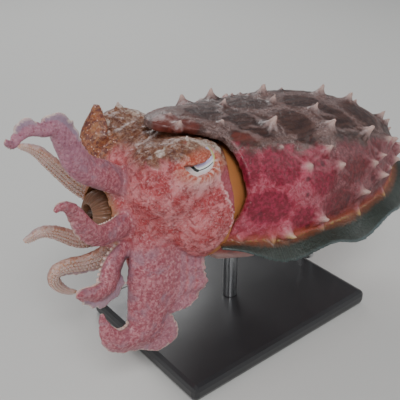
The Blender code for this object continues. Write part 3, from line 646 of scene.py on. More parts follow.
def mantleMasks(skin):
    points = pointsOf(skin)
    x, y, z = points.T
    width, back, belly = mantleSizes(np.clip(x, -15, mantle["tail"] - 0.5))
    rise = z - mantleAxis(x)
    height = np.where(rise > 0, back, belly)
    c = -np.sign(y) * np.minimum(1.4, np.abs(y) / np.maximum(1, width)) ** np.where(rise > 0, 1.25, 1.087)
    s = np.sign(rise) * (np.abs(rise) / np.maximum(1, height)) ** 1.064
    angle = np.arctan2(s, c)
    front = mantleRim(angle)
    out = np.hypot(np.abs(y) / np.maximum(4, width), rise / np.maximum(4, height))
    length = (x - front) / (mantle["tail"] - front)
    inRecess = smooth(0.8, 1.6, (1 - out) * 30) * (x < mantle["rim"] + mantle["recess"] + 1)
    setMasks(skin, turn=leftTurn(angle), length=length, oval=ovalMask(points), inside=inRecess)
    return finMasks(skin, points)


def mantleMaterial():
    material = startMaterial("mantleHide", subsurfaceWeight=0.08, **flesh)
    cloud, mottle, grain = noise(9, 3, 0.6), noise(2.6, 4, 0.8), noise(0.8, 3)
    streak = noise(2.0, 4, 0.4, (0.22, 1, 1))
    turn, length = mask("turn"), mask("length")
    border = cloud * 30.0 + (mottle * 12.0 + turn)
    back = span(length * 15.0 + border, 68, 78)
    low = span(cloud * 16.0 + turn, 12, -2)
    # crimson flanks, brown back, orange red low down
    ground = layer(span(mottle, 0.4, 0.64), (0.3, 0.012, 0.038), (0.43, 0.055, 0.1))
    rear = layer(span(mottle, 0.4, 0.64), (0.105, 0.007, 0.012), (0.18, 0.022, 0.03))
    ground = layer(span(cloud * 0.16 + length, 0.27, 0.44), ground, rear)
    brown = layer(span(streak, 0.38, 0.66), (0.1, 0.043, 0.032), (0.046, 0.016, 0.013))
    ground = layer(back, ground, brown)
    ground = layer(low * 0.8, ground, (0.34, 0.045, 0.02))
    # dark ovals
    edge = (grain - 0.5) * 0.2 + ((mottle - 0.5) * 0.55 + mask("oval"))
    oval = span(edge, 1.1, 0.86)
    patch = noise(1.5, 3, 0.5)
    flank = layer(span(patch, 0.4, 0.66), (0.165, 0.005, 0.018), (0.3, 0.016, 0.05))
    rearFlank = layer(span(patch, 0.4, 0.66), (0.085, 0.006, 0.009), (0.165, 0.018, 0.022))
    flank = layer(span(length, 0.26, 0.42), flank, rearFlank)
    dark = layer(back, flank, layer(span(streak, 0.35, 0.65), (0.066, 0.027, 0.02), (0.028, 0.009, 0.007)))
    front = span(length, 0.15, 0.09) * span(turn, 56, 62)
    dark = layer(front, dark, layer(streak, (0.2, 0.04, 0.026), (0.07, 0.008, 0.006)))
    ground = layer(oval * 0.92, ground, dark)
    # pale web between the ovals, stars round the papillae and lines that join them
    web = span(edge, 0.92, 1.45) * span(mottle, 0.3, 0.62, 0.25, 1.0)
    fibre = veins(1.7, 0.085)
    web = web * (fibre * 0.6 + 0.3) * span(turn, -6, 14, 0.3, 0.85)
    rough = (mottle - 0.5) * 3.6 + mask("lineFar")
    line = span(rough, 2.0, 0.3) * span(turn, 30, 60, 0.28, 0.42)
    reach = mask("spineRay") * 0.9 + 3.7
    star = span(((mottle - 0.5) * 3.4 + mask("spineFar")) / reach, 1.2, 0.35) * 0.74
    pale = calc("MAXIMUM", web, calc("MAXIMUM", line, star)) * span(grain, 0.25, 0.6, 0.7, 1.0)
    thread = layer(span(length, 0.26, 0.44), (0.52, 0.18, 0.21), (0.38, 0.165, 0.175))
    ground = layer(pale, ground, layer(back, thread, (0.37, 0.255, 0.24)))
    # dark specks, a few large ones on the flank, and pale tips
    specks = span(spots(1.1), 0.3, 0.12)
    ground = layer(specks * 0.4, ground, (0.07, 0.012, 0.014))
    blot = span(spots(9), 0.2, 0.1) * span(turn, 46, 36)
    ground = layer(blot * 0.7, ground, (0.06, 0.006, 0.012))
    tip = span(mask("spineTip"), 0.25, 0.85) * 0.85
    ground = layer(tip, ground, layer(span(turn, -4, 0), (0.58, 0.44, 0.14), (0.56, 0.38, 0.33)))
    # smoky blade of the fin with fine rays, and the yellow line along its foot
    rays = addNode("TexNoise", {"W": length * 420.0, "Scale": 1.0, "Detail": 2.0}, noise_dimensions="1D")
    blade = layer(span(rays, 0.35, 0.68), (0.01, 0.016, 0.012), (0.042, 0.056, 0.044))
    hem = span(mask("finOut"), 0.86, 1.0) * span(length, 0.2, 0.6, 0.2, 0.65)
    blade = layer(hem, blade, (0.15, 0.22, 0.24))
    ground = layer(mask("inFin"), ground, blade)
    foot = (mottle - 0.5) * 2.0 + mask("footFar")
    ground = layer(span(foot, 4.0, 1.2) * 0.55, ground, (0.27, 0.065, 0.02))
    ground = layer(span(foot, 1.4, 0.5) * 0.75, ground, (0.36, 0.29, 0.09))
    belly = span(turn, -20, -34)
    ground = layer(belly * 0.8, ground, layer(mottle, (0.5, 0.3, 0.28), (0.62, 0.46, 0.44)))
    ground = layer(mask("inside"), ground, (0.22, 0.055, 0.03))
    shade(baseColor=ground)
    height = web * 0.6 + (grain * 0.5 + mottle)
    shade(normal=relief(height, 0.42), roughness=span(mottle, 0.2, 0.8, 0.32, 0.54))
    return material


def makeMantle():
    spines = spinePlaces()
    forms = [mantleForm("mantle"), finForm(1), finForm(-1)]
    forms += [spine(*one, spineLean(*one[2:])) for one in spines]
    skin = joinAll("mantleSkin", forms)
    blendSkin(skin, mantle["voxel"], 3)
    far, line = spineMasks(skin, spines)
    blade = mantleMasks(skin)
    raiseSkin(skin, (fold(line, *mantle["lineFold"]) + fold(far, *mantle["footFold"])) * (1 - blade))
    weigh(skin, "soft", 1 - 0.8 * blade)
    for size, depth in mantle["wrinkles"]:
        crinkle(skin, size, depth, "soft")
    thinOut(skin)
    finishPiece(skin, mantleMaterial(), ("mantle", "fin_left", "fin_right"))


# Arms

# each route runs from inside the head to the tip: place, half width of the core, width of the keel
# the faces are the way that the outer side looks at the root and at the tip

arms = {
    "left_1": {
        "route": ((-22, -6, 15, 5.6, 0), (-36, -8, 20.5, 5.5, 0), (-48.5, -11, 26.5, 5.3, 0.3),
                  (-57, -13, 30.8, 4.9, 0.5), (-61.8, -14, 35.1, 4.5, 0.8),
                  (-65.2, -14.5, 40.3, 4.0, 1.0), (-68.6, -15.5, 45.1, 3.3, 2.2),
                  (-72.2, -16.5, 48.4, 2.4, 3.0), (-76.6, -18, 48.7, 1.9, 0.3),
                  (-81.9, -19.5, 49.4, 1.4, 2.4), (-85.7, -21, 48.1, 1.2, 0.9),
                  (-88.3, -22.5, 46.8, 1.0, 0.5), (-91.9, -24.5, 49, 0.6, 0.2)),
        "faces": ((-0.3, -0.7, 0.65), (-0.4, -0.85, 0.3)), "keelSide": 1,
    },
    "left_2": {
        "route": ((-24, -8, 6.5, 4.6, 0), (-35, -13, 6.6, 4.4, 0), (-46, -17, 6, 4.0, 0.2),
                  (-54, -20, 8, 3.6, 0.6), (-60, -21.5, 13.5, 3.2, 0.9), (-64, -22.5, 19, 2.5, 0.9),
                  (-67.5, -23.5, 23, 1.8, 0.5), (-72, -25, 25, 1.2, 0.2), (-75, -26, 24, 0.7, 0)),
        "faces": ((-0.2, -0.95, 0.2), (-0.2, -0.95, 0.2)), "keelSide": -1,
    },
    "left_3": {
        "route": ((-22, -7, -4, 4.4, 0), (-33, -11.5, -6, 4.2, 0.2), (-41.5, -15.5, -8.8, 4.4, 2.2),
                  (-45.5, -18.5, -12.8, 4.3, 4.2), (-48.6, -21, -15.8, 3.8, 4.4),
                  (-53.8, -22.5, -15.6, 2.9, 2.6), (-58.5, -23.5, -13.8, 2.0, 1.2),
                  (-62.6, -24.5, -12.6, 0.9, 0.2)),
        "faces": ((0.0, -0.95, -0.1), (0.0, -0.95, 0.0)), "keelSide": -1,
    },
    "left_4": {
        "route": ((-23, -12, 13, 7.2, 3), (-25, -16, 5, 8.0, 8), (-27, -19, -4, 8.8, 11.5),
                  (-28.5, -22, -14.5, 9.2, 15.0), (-29, -23.7, -23.5, 8.8, 13.0),
                  (-29.2, -24.2, -27.8, 8.4, 12.0), (-29.7, -24.6, -31.3, 8.0, 3.0),
                  (-31, -25, -37, 7.2, 8.5), (-36, -25, -40.3, 5.4, 1.8), (-42, -24.5, -40, 4.4, 1.2),
                  (-46.3, -24, -35.5, 3.0, 0.5), (-48.5, -23, -30.5, 1.6, 0.2),
                  (-49.5, -22.5, -26.5, 0.7, 0)),
        "faces": ((-0.25, -0.95, 0.0), (-0.25, -0.95, 0.0)), "keelSide": -1,
    },
    "right_1": {
        "route": ((-20, 6, 12, 5.8, 0), (-28.5, 8.5, 17.5, 6.2, 0), (-34.5, 11.5, 23, 6.6, 0.4),
                  (-37.2, 14, 28.5, 6.2, 0.6), (-36.3, 16, 33, 5.6, 0.6), (-34.8, 18, 36.4, 4.2, 0.4),
                  (-33.8, 19.5, 39.2, 2.6, 0.2), (-33.6, 20.5, 42, 0.9, 0)),
        "faces": ((-0.6, -0.5, 0.6), (-0.5, 0.2, 0.8)), "keelSide": 1,
    },
    "right_2": {
        "route": ((-22, 8, 5, 5.0, 0), (-30, 12, 5, 4.6, 0), (-36.5, 14, 6.5, 4.0, 0.2),
                  (-43, 15.5, 10.2, 3.3, 0.4), (-49, 17, 15.7, 3.0, 0.4), (-54.5, 18, 21, 2.7, 0.3),
                  (-58.7, 19, 25, 2.2, 0.2), (-62.5, 20, 27, 1.5, 0), (-66, 21, 27.5, 0.8, 0)),
        "faces": ((0.2, 0.95, 0.1), (0.1, 0.9, 0.3)), "keelSide": -1,
    },
    "right_3": {
        "route": ((-20, 10, -5, 4.8, 0), (-26, 14.5, -12, 4.6, 0), (-32, 16.5, -17, 4.0, 0.2),
                  (-38.5, 17.5, -17.5, 3.3, 0.4), (-45, 18.3, -14.3, 2.9, 0.4),
                  (-50.5, 19, -11.8, 2.5, 0.3), (-55, 20, -11.7, 2.1, 0.2), (-58.5, 20.5, -13.5, 1.6, 0),
                  (-61.3, 21, -15, 0.9, 0)),
        "faces": ((0.1, 0.95, -0.2), (0.1, 0.95, -0.2)), "keelSide": -1,
    },
    "right_4": {
        "route": ((-17, 4, -9, 5.0, 0), (-24, 6, -16, 4.8, 0.4), (-31, 8.5, -22, 4.2, 0.9),
                  (-38.4, 10.5, -24.6, 3.5, 1.2), (-45, 11.5, -24.8, 3.2, 1.2),
                  (-50.3, 12.5, -26.5, 2.8, 1.0), (-51.5, 13, -31, 2.4, 0.7),
                  (-49, 13.5, -35.5, 2.0, 0.5), (-44.8, 13.5, -38.8, 1.5, 0.2),
                  (-39.5, 13, -41, 0.8, 0)),
        "faces": ((0.2, 0.95, -0.2), (0.1, 0.97, 0.0)), "keelSide": 1,
    },
}
armShape = {"stubEnd": 0.16, "around": 44, "along": 90, "keelEdge": 0.62, "scallop": 3.4, "ripple": 8.5}


def curveBetween(a, b, c, d, t):
    # from b to c as t goes from 0 to 1, bent by their neighbours
    return 0.5 * (2 * b + (c - a) * t + (2 * a - 5 * b + 4 * c - d) * t ** 2
                  + (3 * b - a - 3 * c + d) * t ** 3)


def smoothLine(points, steps=24):
    # a smooth curve through the points, whose sizes run smoothly along it too
    points = np.array(points, float)
    ends = np.vstack([2 * points[0] - points[1], points, 2 * points[-1] - points[-2]])
    t = np.arange(steps)[:, None] / steps
    spans = [curveBetween(*four, t) for four in zip(ends, ends[1:], ends[2:], ends[3:])]
    return np.vstack([*spans, points[-1:]])


def armFrame(arm, share):
    # middle, direction, outer face, side and sizes at shares of the arm's length
    line = smoothLine(arm["route"])
    lengths = np.concatenate([[0], np.cumsum(np.linalg.norm(np.diff(line[:, :3], axis=0), axis=1))])
    at = lengths / lengths[-1]

    def on(where):
        return np.column_stack([np.interp(where, at, line[:, k]) for k in range(5)])

    here = on(share)
    along = unit(on(np.clip(share + 0.02, 0, 1))[:, :3] - on(np.clip(share - 0.02, 0, 1))[:, :3])
    first, last = (np.array(face) for face in arm["faces"])
    face = first + np.outer(share, last - first)
    face = unit(face - along * np.sum(face * along, axis=1, keepdims=True))
    side = unit(np.cross(along, face))
    core = np.maximum(0.6, here[:, 3])
    thick = np.minimum(0.95 * core, 0.45 * core + 0.9)
    keel = (np.maximum(0, here[:, 4]) + 0.35) * (1 + 0.08 * np.sin(10 * math.pi * share))
    return here[:, :3], along, face, side, core, thick, keel, lengths[-1]


def roundOutline(corners, around):
    # closed smooth curve through the corners, read at shares of the way round
    count = corners.shape[1]
    at = around * count
    low = np.floor(at).astype(int)
    t = (at - low)[:, None]
    rows = np.arange(len(around))
    return curveBetween(*(corners[rows, (low + k) % count] for k in (-1, 0, 1, 2)), t)


def armSurface(arm, around, share):
    middle, _, face, side, core, thick, keel, length = armFrame(arm, share)
    far = share * length
    wide = np.clip(keel / 3, 0, 1)
    keel = keel + wide * (0.45 * np.sin(2 * math.pi * far / armShape["scallop"])
                          + 0.25 * np.sin(2 * math.pi * far / 2.1 + 1.3))
    halfKeel = np.maximum(0.6, 0.24 * thick)
    edge = np.full_like(core, armShape["keelEdge"])
    zero = np.zeros_like(core)
    corners = np.stack([np.stack(pair, axis=-1) for pair in (
        (-core, zero), (-0.78 * core, 0.62 * thick), (-0.1 * core, thick), (0.62 * core, 0.74 * thick),
        (core + 0.3 * keel, halfKeel), (core + keel, edge), (core + keel, -edge),
        (core + 0.3 * keel, -halfKeel), (0.62 * core, -0.74 * thick), (-0.1 * core, -thick),
        (-0.78 * core, -0.62 * thick))], axis=1)
    section = roundOutline(corners, around)
    across, out = section[:, 0], section[:, 1]
    inKeel = np.clip((across - 0.75 * core) / (0.25 * core + keel), 0, 1)
    out = out + inKeel ** 1.5 * wide * 0.8 * np.sin(2 * math.pi * far / armShape["ripple"])
    return middle + side * (arm["keelSide"] * across)[:, None] + face * out[:, None]


def armForm(name, start=0.0, end=1.0):
    arm = arms[name]
    rows = max(8, round(armShape["along"] * (end - start)))
    return wrapGrid("arm_" + name, armShape["around"], rows,
                    lambda around, along: armSurface(arm, around, start + (end - start) * along))


# Head

head = {
    "tilt": 0.05, "coarse": 1.6, "softness": 12, "voxel": 0.58,
    "eyeRadius": 8.0, "eyePlace": (-15.2, -20.5, 29.8), "eyeAxis": (-0.15, -0.88, 0.45),
    "rear": -0.5, "rearLean": 0.06, "rearTop": 30.2,
    "neckHalfWidth": 30.4, "neckHeight": 28.5, "neckDepth": 16, "neckMiddle": 8,
    "crown": (-38, 0, 5), "mouthRoom": (13, 10.8, 10.8),
    # place and height
    "browSpines": ((-21, 22, 38.0, 5.0), (-30, 19, 31.5, 4.0)),
    "collarLevels": (-8, 2, 12, 20, 27, 33, 37), "collarEdge": (-6, -3, 0.3, 1.6, 3.2, 6.0, 14),
    "ridgeFold": (0.7, 0.8),
    # where, size and depth
    "wrinkles": (("rough", 3.0, 1.3), ("soft", 2.4, 0.40), ("soft", 1.2, 0.20)),
}
# rounded forms: place and radii; those off the middle are mirrored
headForms = (
    ((-13, 0, 9), (28, 27, 25)),
    ((-17, 18, 27.5), (16, 13.5, 11.5)),
    ((-19, 13, 20), (20, 17, 17)),
    ((-6, 0, 15), (19, 28, 23)),
    ((-7, 16, 22), (14, 13, 15)),
    ((-19.5, 21, 32.0), (11.5, 9.8, 8.0)),
    ((-4, 17, 8), (19, 18, 22)),
    ((-27, 0, 5), (18, 19, 19)),
    ((-14, 0, -5), (22, 21, 12)),
)
funnelSections = ((17.9, -11.9, 17.0, 2.8), (8, -12.4, 16.5, 3.3), (-2, -16.8, 12.5, 5.0),
                  (-12, -21.5, 8.6, 6.2), (-20, -24.0, 6.2, 5.6))
funnelWall = 1.6
cheekRidge = ((-8.5, -23.5, 36.5), (-8.5, -27.5, 34.0), (-6.6, -29.5, 26.2), (-4.0, -32.6, 18.9),
              (-1.8, -34.1, 13.0), (-1.6, -34.6, 7.0), (-3.0, -34.0, 1.5))


def onSide(x, y, z, side):
    # the same place on that side of the head, which is tilted a little
    return x, y * side, z - head["tilt"] * y * side


def eyeMiddle(side):
    return np.array(onSide(*head["eyePlace"], side))


def eyeAxes(side):
    # outward, rearward and upward; side 1 is the left
    x, y, z = head["eyeAxis"]
    axis = unit(np.array((x, y * side, z)))
    back = np.array((1, 0, 0.12))
    back = unit(back - axis * back.dot(axis))
    up = np.cross(axis, back) * side
    return axis, back, up


def lidOpening(side):
    # a smile-shaped hole through the lid, with its corners turned up
    axis, back, up = eyeAxes(side)

    def place(around, along):
        t = along * 2 - 1
        lower = -5.1 + 6.2 * np.abs(t) ** 2.4 + 1.2 * t
        upper = -0.1 + 2.3 * t ** 2 + 1.4 * t
        turn = around * 2 * math.pi
        rise = (lower + upper) / 2 + np.sin(turn) * np.maximum(0.05, upper - lower) / 2
        spread = 1.12 + 0.12 * np.cos(turn)
        out = 1.28 + 0.82 * np.cos(turn)
        across = np.outer((8.4 * t + 0.6) * spread, back) + np.outer(rise * spread, up)
        return eyeMiddle(side) + np.outer(out * head["eyeRadius"], axis) + across

    return wrapGrid("lidOpening", 20, 30, place)


def neckForm():
    front, back = head["rear"] - 8, mantle["rim"] + mantle["recess"] - 0.6
    xs = np.array((front, head["rear"] + 3.3, head["rear"] + 7.3, back))
    shrinks = np.array((1.2, 0.2, 0.6, 3.0))
    leans = np.array((1.0, 1.0, 1.0, 0.0))

    def place(around, along):
        x = front + (back - front) * along
        shrink = np.interp(x, xs, shrinks)
        turn = around * 2 * math.pi
        s = np.sin(turn)
        rise = s * (np.where(s > 0, head["neckHeight"], head["neckDepth"]) - shrink)
        y = np.cos(turn) * (head["neckHalfWidth"] - shrink)
        x = x - head["rearLean"] * np.interp(x, xs, leans) * rise
        return np.stack([x, y, head["neckMiddle"] + rise], axis=1)

    return wrapGrid("neck", 96, 20, place)


def funnelForm():
    # forward along the outer face, round the lip and back inside
    sections = np.array(funnelSections)
    lip = sections[-1] - (0.7, 0, funnelWall / 2, funnelWall / 2)
    path = np.vstack([sections, lip, sections[:1:-1] - (0, 0, funnelWall, funnelWall)])
    steps = np.arange(len(path)) / (len(path) - 1)

    def place(around, along):
        x, z, wide, tall = (np.interp(along, steps, path[:, k]) for k in range(4))
        turn = around * 2 * math.pi
        return np.stack([x, np.cos(turn) * wide, z + np.sin(turn) * tall], axis=1)

    return wrapGrid("funnel", 48, 56, place)


def rearCutter():
    # a box that leaves the head a flat rear below the brows
    length, width, height = 80, 160, 95
    middle = (head["rear"] + length / 2, 0, head["neckMiddle"] + head["rearTop"] - height / 2)
    deselectAll()
    bpy.ops.mesh.primitive_cube_add(size=1, location=[place * mm for place in middle],
                                    scale=(length * mm, width * mm, height * mm))
    return bpy.context.object


def browRoots():
    found = []
    for side in (1, -1):
        for *place, height in head["browSpines"]:
            found.append((onSide(*place, side), side, height))
    return found


def browSpines():
    return [spine(root, unit(np.array((-0.1, 0.35 * side, 1))), height, 3.0)
            for root, side, height in browRoots()]


def armSamples():
    # points of the arms' surfaces with the arm's number, share along, share out in the keel, inner face,
    # distance from the keel's edge and width of the keel
    turns, steps = 30, 110
    around, along = np.meshgrid(np.arange(turns) / turns, np.linspace(0, 1, steps))
    around, along = around.ravel(), along.ravel()
    points, facts = [], []
    for number, (name, arm) in enumerate(arms.items()):
        surface = armSurface(arm, around, along)
        middle, _, face, side, core, thick, keel, _ = armFrame(arm, along)
        offset = surface - middle
        across = np.sum(offset * side, axis=1) * arm["keelSide"]
        out = np.sum(offset * face, axis=1)
        points.append(surface)
        edge = core + keel - across
        edge = edge - np.repeat(edge.reshape(steps, turns).min(axis=1), turns)
        facts.append(np.column_stack([np.full(len(along), number), along,
                                      np.clip((across - core) / np.maximum(0.7, keel), -1, 1),
                                      np.clip(-out / thick, -1, 1), edge, keel]))
    return np.vstack(points), np.vstack(facts)


def headMasks(skin):
    points, normals = pointsOf(skin), normalsOf(skin)
    surface, facts = armSamples()
    index, gap = nearest(points, surface)
    number, share, keelOut, inner, edge, keel = facts[index].T
    onArm = (1 - smooth(0.9, 2.6, gap)) * smooth(0.12, 0.30, share)
    keelRim = (1 - smooth(0.15, 0.9, edge)) * smooth(0.9, 1.6, keel) * onArm
    first, broad, leaf = (list(arms).index(name) for name in ("left_1", "left_4", "right_1"))
    setMasks(skin, onArm=onArm, armShare=share, keelRim=keelRim, rightArm=number > leaf,
             inKeel=np.where(keel > 1.4, smooth(0.0, 0.35, keelOut), 0) * onArm,
             innerFace=smooth(0.15, 0.75, inner) * onArm,
             hump=(number == leaf) * smooth(0.10, 0.22, share) * (1 - smooth(1.5, 4.0, gap)),
             broadArm=(number == broad) * smooth(0.10, 0.35, share) * onArm,
             firstArm=(number == first) * smooth(0.30, 0.6, share) * onArm)
    x, y, z = points.T
    level = z + head["tilt"] * y
    top = smooth(26, 33, level) * smooth(0.15, 0.6, normals[:, 2])
    angles = np.radians(np.linspace(35, 145, 221))
    _, fromRim = nearest(points, mantlePoint(np.zeros_like(angles), angles))
    patch = np.hypot((x + 9) / 14, (np.abs(y) - 20) / 10)
    browPale = np.maximum(0.45 * (1 - smooth(2.5, 5.5, fromRim)), 0.9 * (1 - smooth(0, 1.3, patch)))
    browPale = browPale * smooth(25, 31, level) * (1 - onArm)
    for root, *_ in browRoots():
        offset = points - root
        near = 1 - smooth(1.4, 3.4, np.hypot(offset[:, 0], offset[:, 1]))
        top = np.maximum(top, near * smooth(-2.0, 0.5, offset[:, 2]))
        browPale = np.maximum(browPale, near * smooth(1.5, 3.5, offset[:, 2]))
    collar = smooth(-0.6, 0.8, x - np.interp(level, head["collarLevels"], head["collarEdge"])) * (1 - onArm)
    lid, ray, under = np.zeros(len(points)), np.zeros(len(points)), np.full(len(points), 99.0)
    for side in (1, -1):
        axis, back, up = eyeAxes(side)
        offset = points - eyeMiddle(side)
        across, rise, out = offset @ back, offset @ up, offset @ axis
        here = out > 2
        around = np.hypot((across - 0.8) / 9.0, (rise + 1.6) / 4.6)
        lid = np.where(here, np.maximum(lid, 1 - smooth(0.95, 1.7, around)), lid)
        turn = np.arctan2(across - 0.8, -(rise + 1))
        ray = np.where(here, np.cos(turn * 19 + 2 * np.sin(turn * 5)), ray)
        under = np.where(here & (rise < 0), np.hypot((across - 0.8) / 1.3, rise + 1.6), under)
    ridge = np.full(len(points), 99.0)
    for side in (1, -1):
        line = smoothLine(np.array(cheekRidge) * (1, side, 1), 6)
        wave = 0.5 * np.sin(points[:, 2] * 1.7) + 0.35 * np.sin(points[:, 2] * 3.9 + 1)
        moved = points + np.outer(wave, (1, 0, 0))
        for a, b in zip(line, line[1:]):
            ridge = np.minimum(ridge, segmentDistance(moved, a, b))
    # the flank behind the cheek ridge, which gets painted shade
    ridgeX = np.interp(z, line[::-1, 2], line[::-1, 0])
    setMasks(skin, browPale=browPale, top=top, collar=collar, lid=lid, eyeRay=ray, underEye=under,
             ridge=ridge, crownFar=np.linalg.norm((points - head["crown"]) * (0.8, 1, 1), axis=1),
             behindRidge=smooth(0, 1.2, x - ridgeX) * smooth(2, 8, z) * smooth(20, 24, np.abs(y)))
    return top * (1 - onArm), ridge, collar, keelRim


def headMaterial():
    material = startMaterial("headHide", subsurfaceWeight=0.1, **flesh)
    cloud, mottle = noise(8, 3, 0.6), noise(2.4, 4, 1.0)
    grain, fine, thread = noise(0.9, 3, 0.5), noise(1.3, 4, 0.6), veins(3.2, 0.055)
    # cheeks
    ground = layer(span(cloud, 0.38, 0.62), (0.38, 0.04, 0.046), (0.6, 0.19, 0.2))
    ground = layer(span(mottle, 0.48, 0.62) * 0.68, ground, (0.22, 0.012, 0.014))
    ground = layer(span(grain, 0.54, 0.7) * 0.5, ground, (0.66, 0.34, 0.34))
    glow = span(mask("underEye"), 13, 3) * span(mottle, 0.74, 0.46)
    ground = layer(glow * 0.9, ground, (0.94, 0.6, 0.58))
    ground = layer(thread * 0.25, ground, (0.66, 0.34, 0.36))
    # purple-red flank between the ridge and the collar, darkened with painted shade
    ground = layer(mask("behindRidge") * 0.75, ground, layer(mottle, (0.24, 0.014, 0.03), (0.34, 0.06, 0.09)))
    # golden brown top of the head with pale threads
    brown = layer(span(mottle, 0.4, 0.62), (0.185, 0.065, 0.03), (0.105, 0.028, 0.015))
    brown = layer(span(grain, 0.56, 0.72) * 0.4, brown, (0.38, 0.2, 0.08))
    brown = layer(thread * 0.34, brown, (0.44, 0.29, 0.22))
    ground = layer(mask("top"), ground, brown)
    # pale crinkled brows
    tan = layer(span(mottle, 0.38, 0.6), (0.15, 0.07, 0.034), (0.38, 0.24, 0.17))
    chalk = layer(span(mottle, 0.38, 0.56), (0.3, 0.2, 0.15), (0.6, 0.49, 0.43))
    brow = layer(span(mask("browPale"), 0.45, 0.65), tan, chalk)
    brow = layer(span(grain, 0.5, 0.66) * 0.4, brow, (0.66, 0.55, 0.49))
    pale = span((mottle - 0.5) * 2.6 + mask("browPale"), 0.15, 0.6) * 0.85
    ground = layer(pale * span(mask("browPale"), 0, 0.1), ground, brow)
    # red lids and the pale rays under the eye
    lid = layer(span(grain, 0.38, 0.62), (0.4, 0.045, 0.012), (0.58, 0.2, 0.13))
    ground = layer(mask("lid") * 0.9, ground, lid)
    ray = span(mask("eyeRay"), -0.3, 0.9) * span(mask("underEye"), 9.5, 3.5) * span(mottle, 0.3, 0.6)
    ground = layer(ray * 0.8, ground, (0.86, 0.62, 0.58))
    # arms
    pink = layer(span(fine, 0.36, 0.62), (0.5, 0.195, 0.225), (0.31, 0.07, 0.095))
    pink = layer(span(mottle, 0.5, 0.66) * 0.35, pink, (0.24, 0.045, 0.065))
    pink = layer(span(grain, 0.55, 0.72) * 0.45, pink, (0.66, 0.4, 0.41))
    pink = layer(span(cloud, 0.5, 0.66) * 0.6, pink, (0.25, 0.155, 0.2))
    # the first arm's mauve tint, partly its own colour and partly a painted purple sheen
    mauveAndSheen = layer(cloud, (0.32, 0.18, 0.3), (0.46, 0.24, 0.3))
    pink = layer(mask("firstArm") * 0.45, pink, mauveAndSheen)
    cream = layer(span(mottle, 0.38, 0.66), (0.5, 0.3, 0.24), (0.36, 0.145, 0.1))
    cream = layer(span(mask("armShare"), 0.55, 0.95) * 0.55, cream, (0.4, 0.35, 0.4))
    skin = layer(mask("rightArm"), pink, cream)
    skin = layer(span(spots(1.5), 0.32, 0.14) * 0.55, skin, (0.2, 0.032, 0.055))
    keel = layer(span(cloud, 0.35, 0.65), (0.27, 0.2, 0.27), (0.42, 0.29, 0.34))
    keel = layer(mask("broadArm") * 0.7, keel, pink)
    skin = layer(mask("inKeel") * 0.8, skin, keel)
    inner = layer(span(mottle, 0.4, 0.6), (0.68, 0.5, 0.44), (0.6, 0.32, 0.2))
    skin = layer(mask("innerFace") * 0.8, skin, inner)
    rim = mask("keelRim") * span(mottle, 0.25, 0.5, 0.5, 1.0)
    skin = layer(rim * 0.8, skin, (0.74, 0.6, 0.5))
    ground = layer(mask("onArm"), ground, skin)
    hump = layer(span(mottle, 0.4, 0.6), (0.27, 0.08, 0.022), (0.105, 0.022, 0.01))
    hump = layer(thread * 0.45, hump, (0.46, 0.24, 0.1))
    hump = layer(span(spots(1.6), 0.26, 0.12) * 0.8, hump, (0.66, 0.42, 0.34))
    ground = layer(mask("hump") * 0.9, ground, hump)
    # orange-brown skin of the arm crown, its own colour made darker with painted shade
    crown = span(mask("crownFar"), 14.5, 10.5)
    ground = layer(crown, ground, layer(mottle, (0.36, 0.15, 0.05), (0.22, 0.08, 0.03)))
    # white-edged ridge behind the cheek, smooth collar
    edge = (grain - 0.5) * 2.4 + mask("ridge")
    ground = layer(span(edge, 0.9, 0.2) * 0.65, ground, (0.7, 0.44, 0.43))
    collar = layer(cloud, (0.62, 0.25, 0.085), (0.47, 0.175, 0.06))
    ground = layer(mask("collar"), ground, collar)
    shade(baseColor=ground)
    height = (fine * 0.25 + (grain * 0.6 + mottle)) * span(mask("collar"), 1.0, 0.0, 0.12, 1.0)
    shade(normal=relief(height, 0.38), roughness=span(mottle, 0.2, 0.8, 0.33, 0.52))
    return material


def makeHead():
    forms = []
    for place, radii in headForms:
        for side in ((1,) if place[1] == 0 else (1, -1)):
            forms.append(ball(onSide(*place, side), radii))
    forms += [armForm(name, 0.0, armShape["stubEnd"] + 0.05) for name in arms]
    skin = joinAll("headSkin", forms)
    blendSkin(skin, head["coarse"], head["softness"])
    cutAway(skin, ball(head["crown"], head["mouthRoom"]))
    for side in (1, -1):
        cutAway(skin, lidOpening(side))
    cutAway(skin, rearCutter())
    cutAway(skin, mantleForm("mantleRoom", 0.5, 90, 60))
    forms = [skin, neckForm(), funnelForm(), *browSpines()]
    forms += [armForm(name) for name in arms]
    skin = joinAll("headSkin", forms)
    blendSkin(skin, head["voxel"], 2)
    top, ridge, collar, keelRim = headMasks(skin)
    raiseSkin(skin, fold(ridge, *head["ridgeFold"]) * (1 - collar))
    weigh(skin, "rough", top * (1 - collar))
    weigh(skin, "soft", np.clip(1 - collar - keelRim, 0, 1))
    for group, size, depth in head["wrinkles"]:
        crinkle(skin, size, depth, group)
    thinOut(skin)
    nodes = ["head", "neck", "funnel"]
    nodes += [f"arm_{name}_{part}" for name in arms for part in ("base", "middle", "tip")]
    finishPiece(skin, headMaterial(), nodes)


# Eyes

eye = {"stretch": 1.17, "shift": 0.8, "pupilMiddle": -1.5, "pupilLow": -2.9}


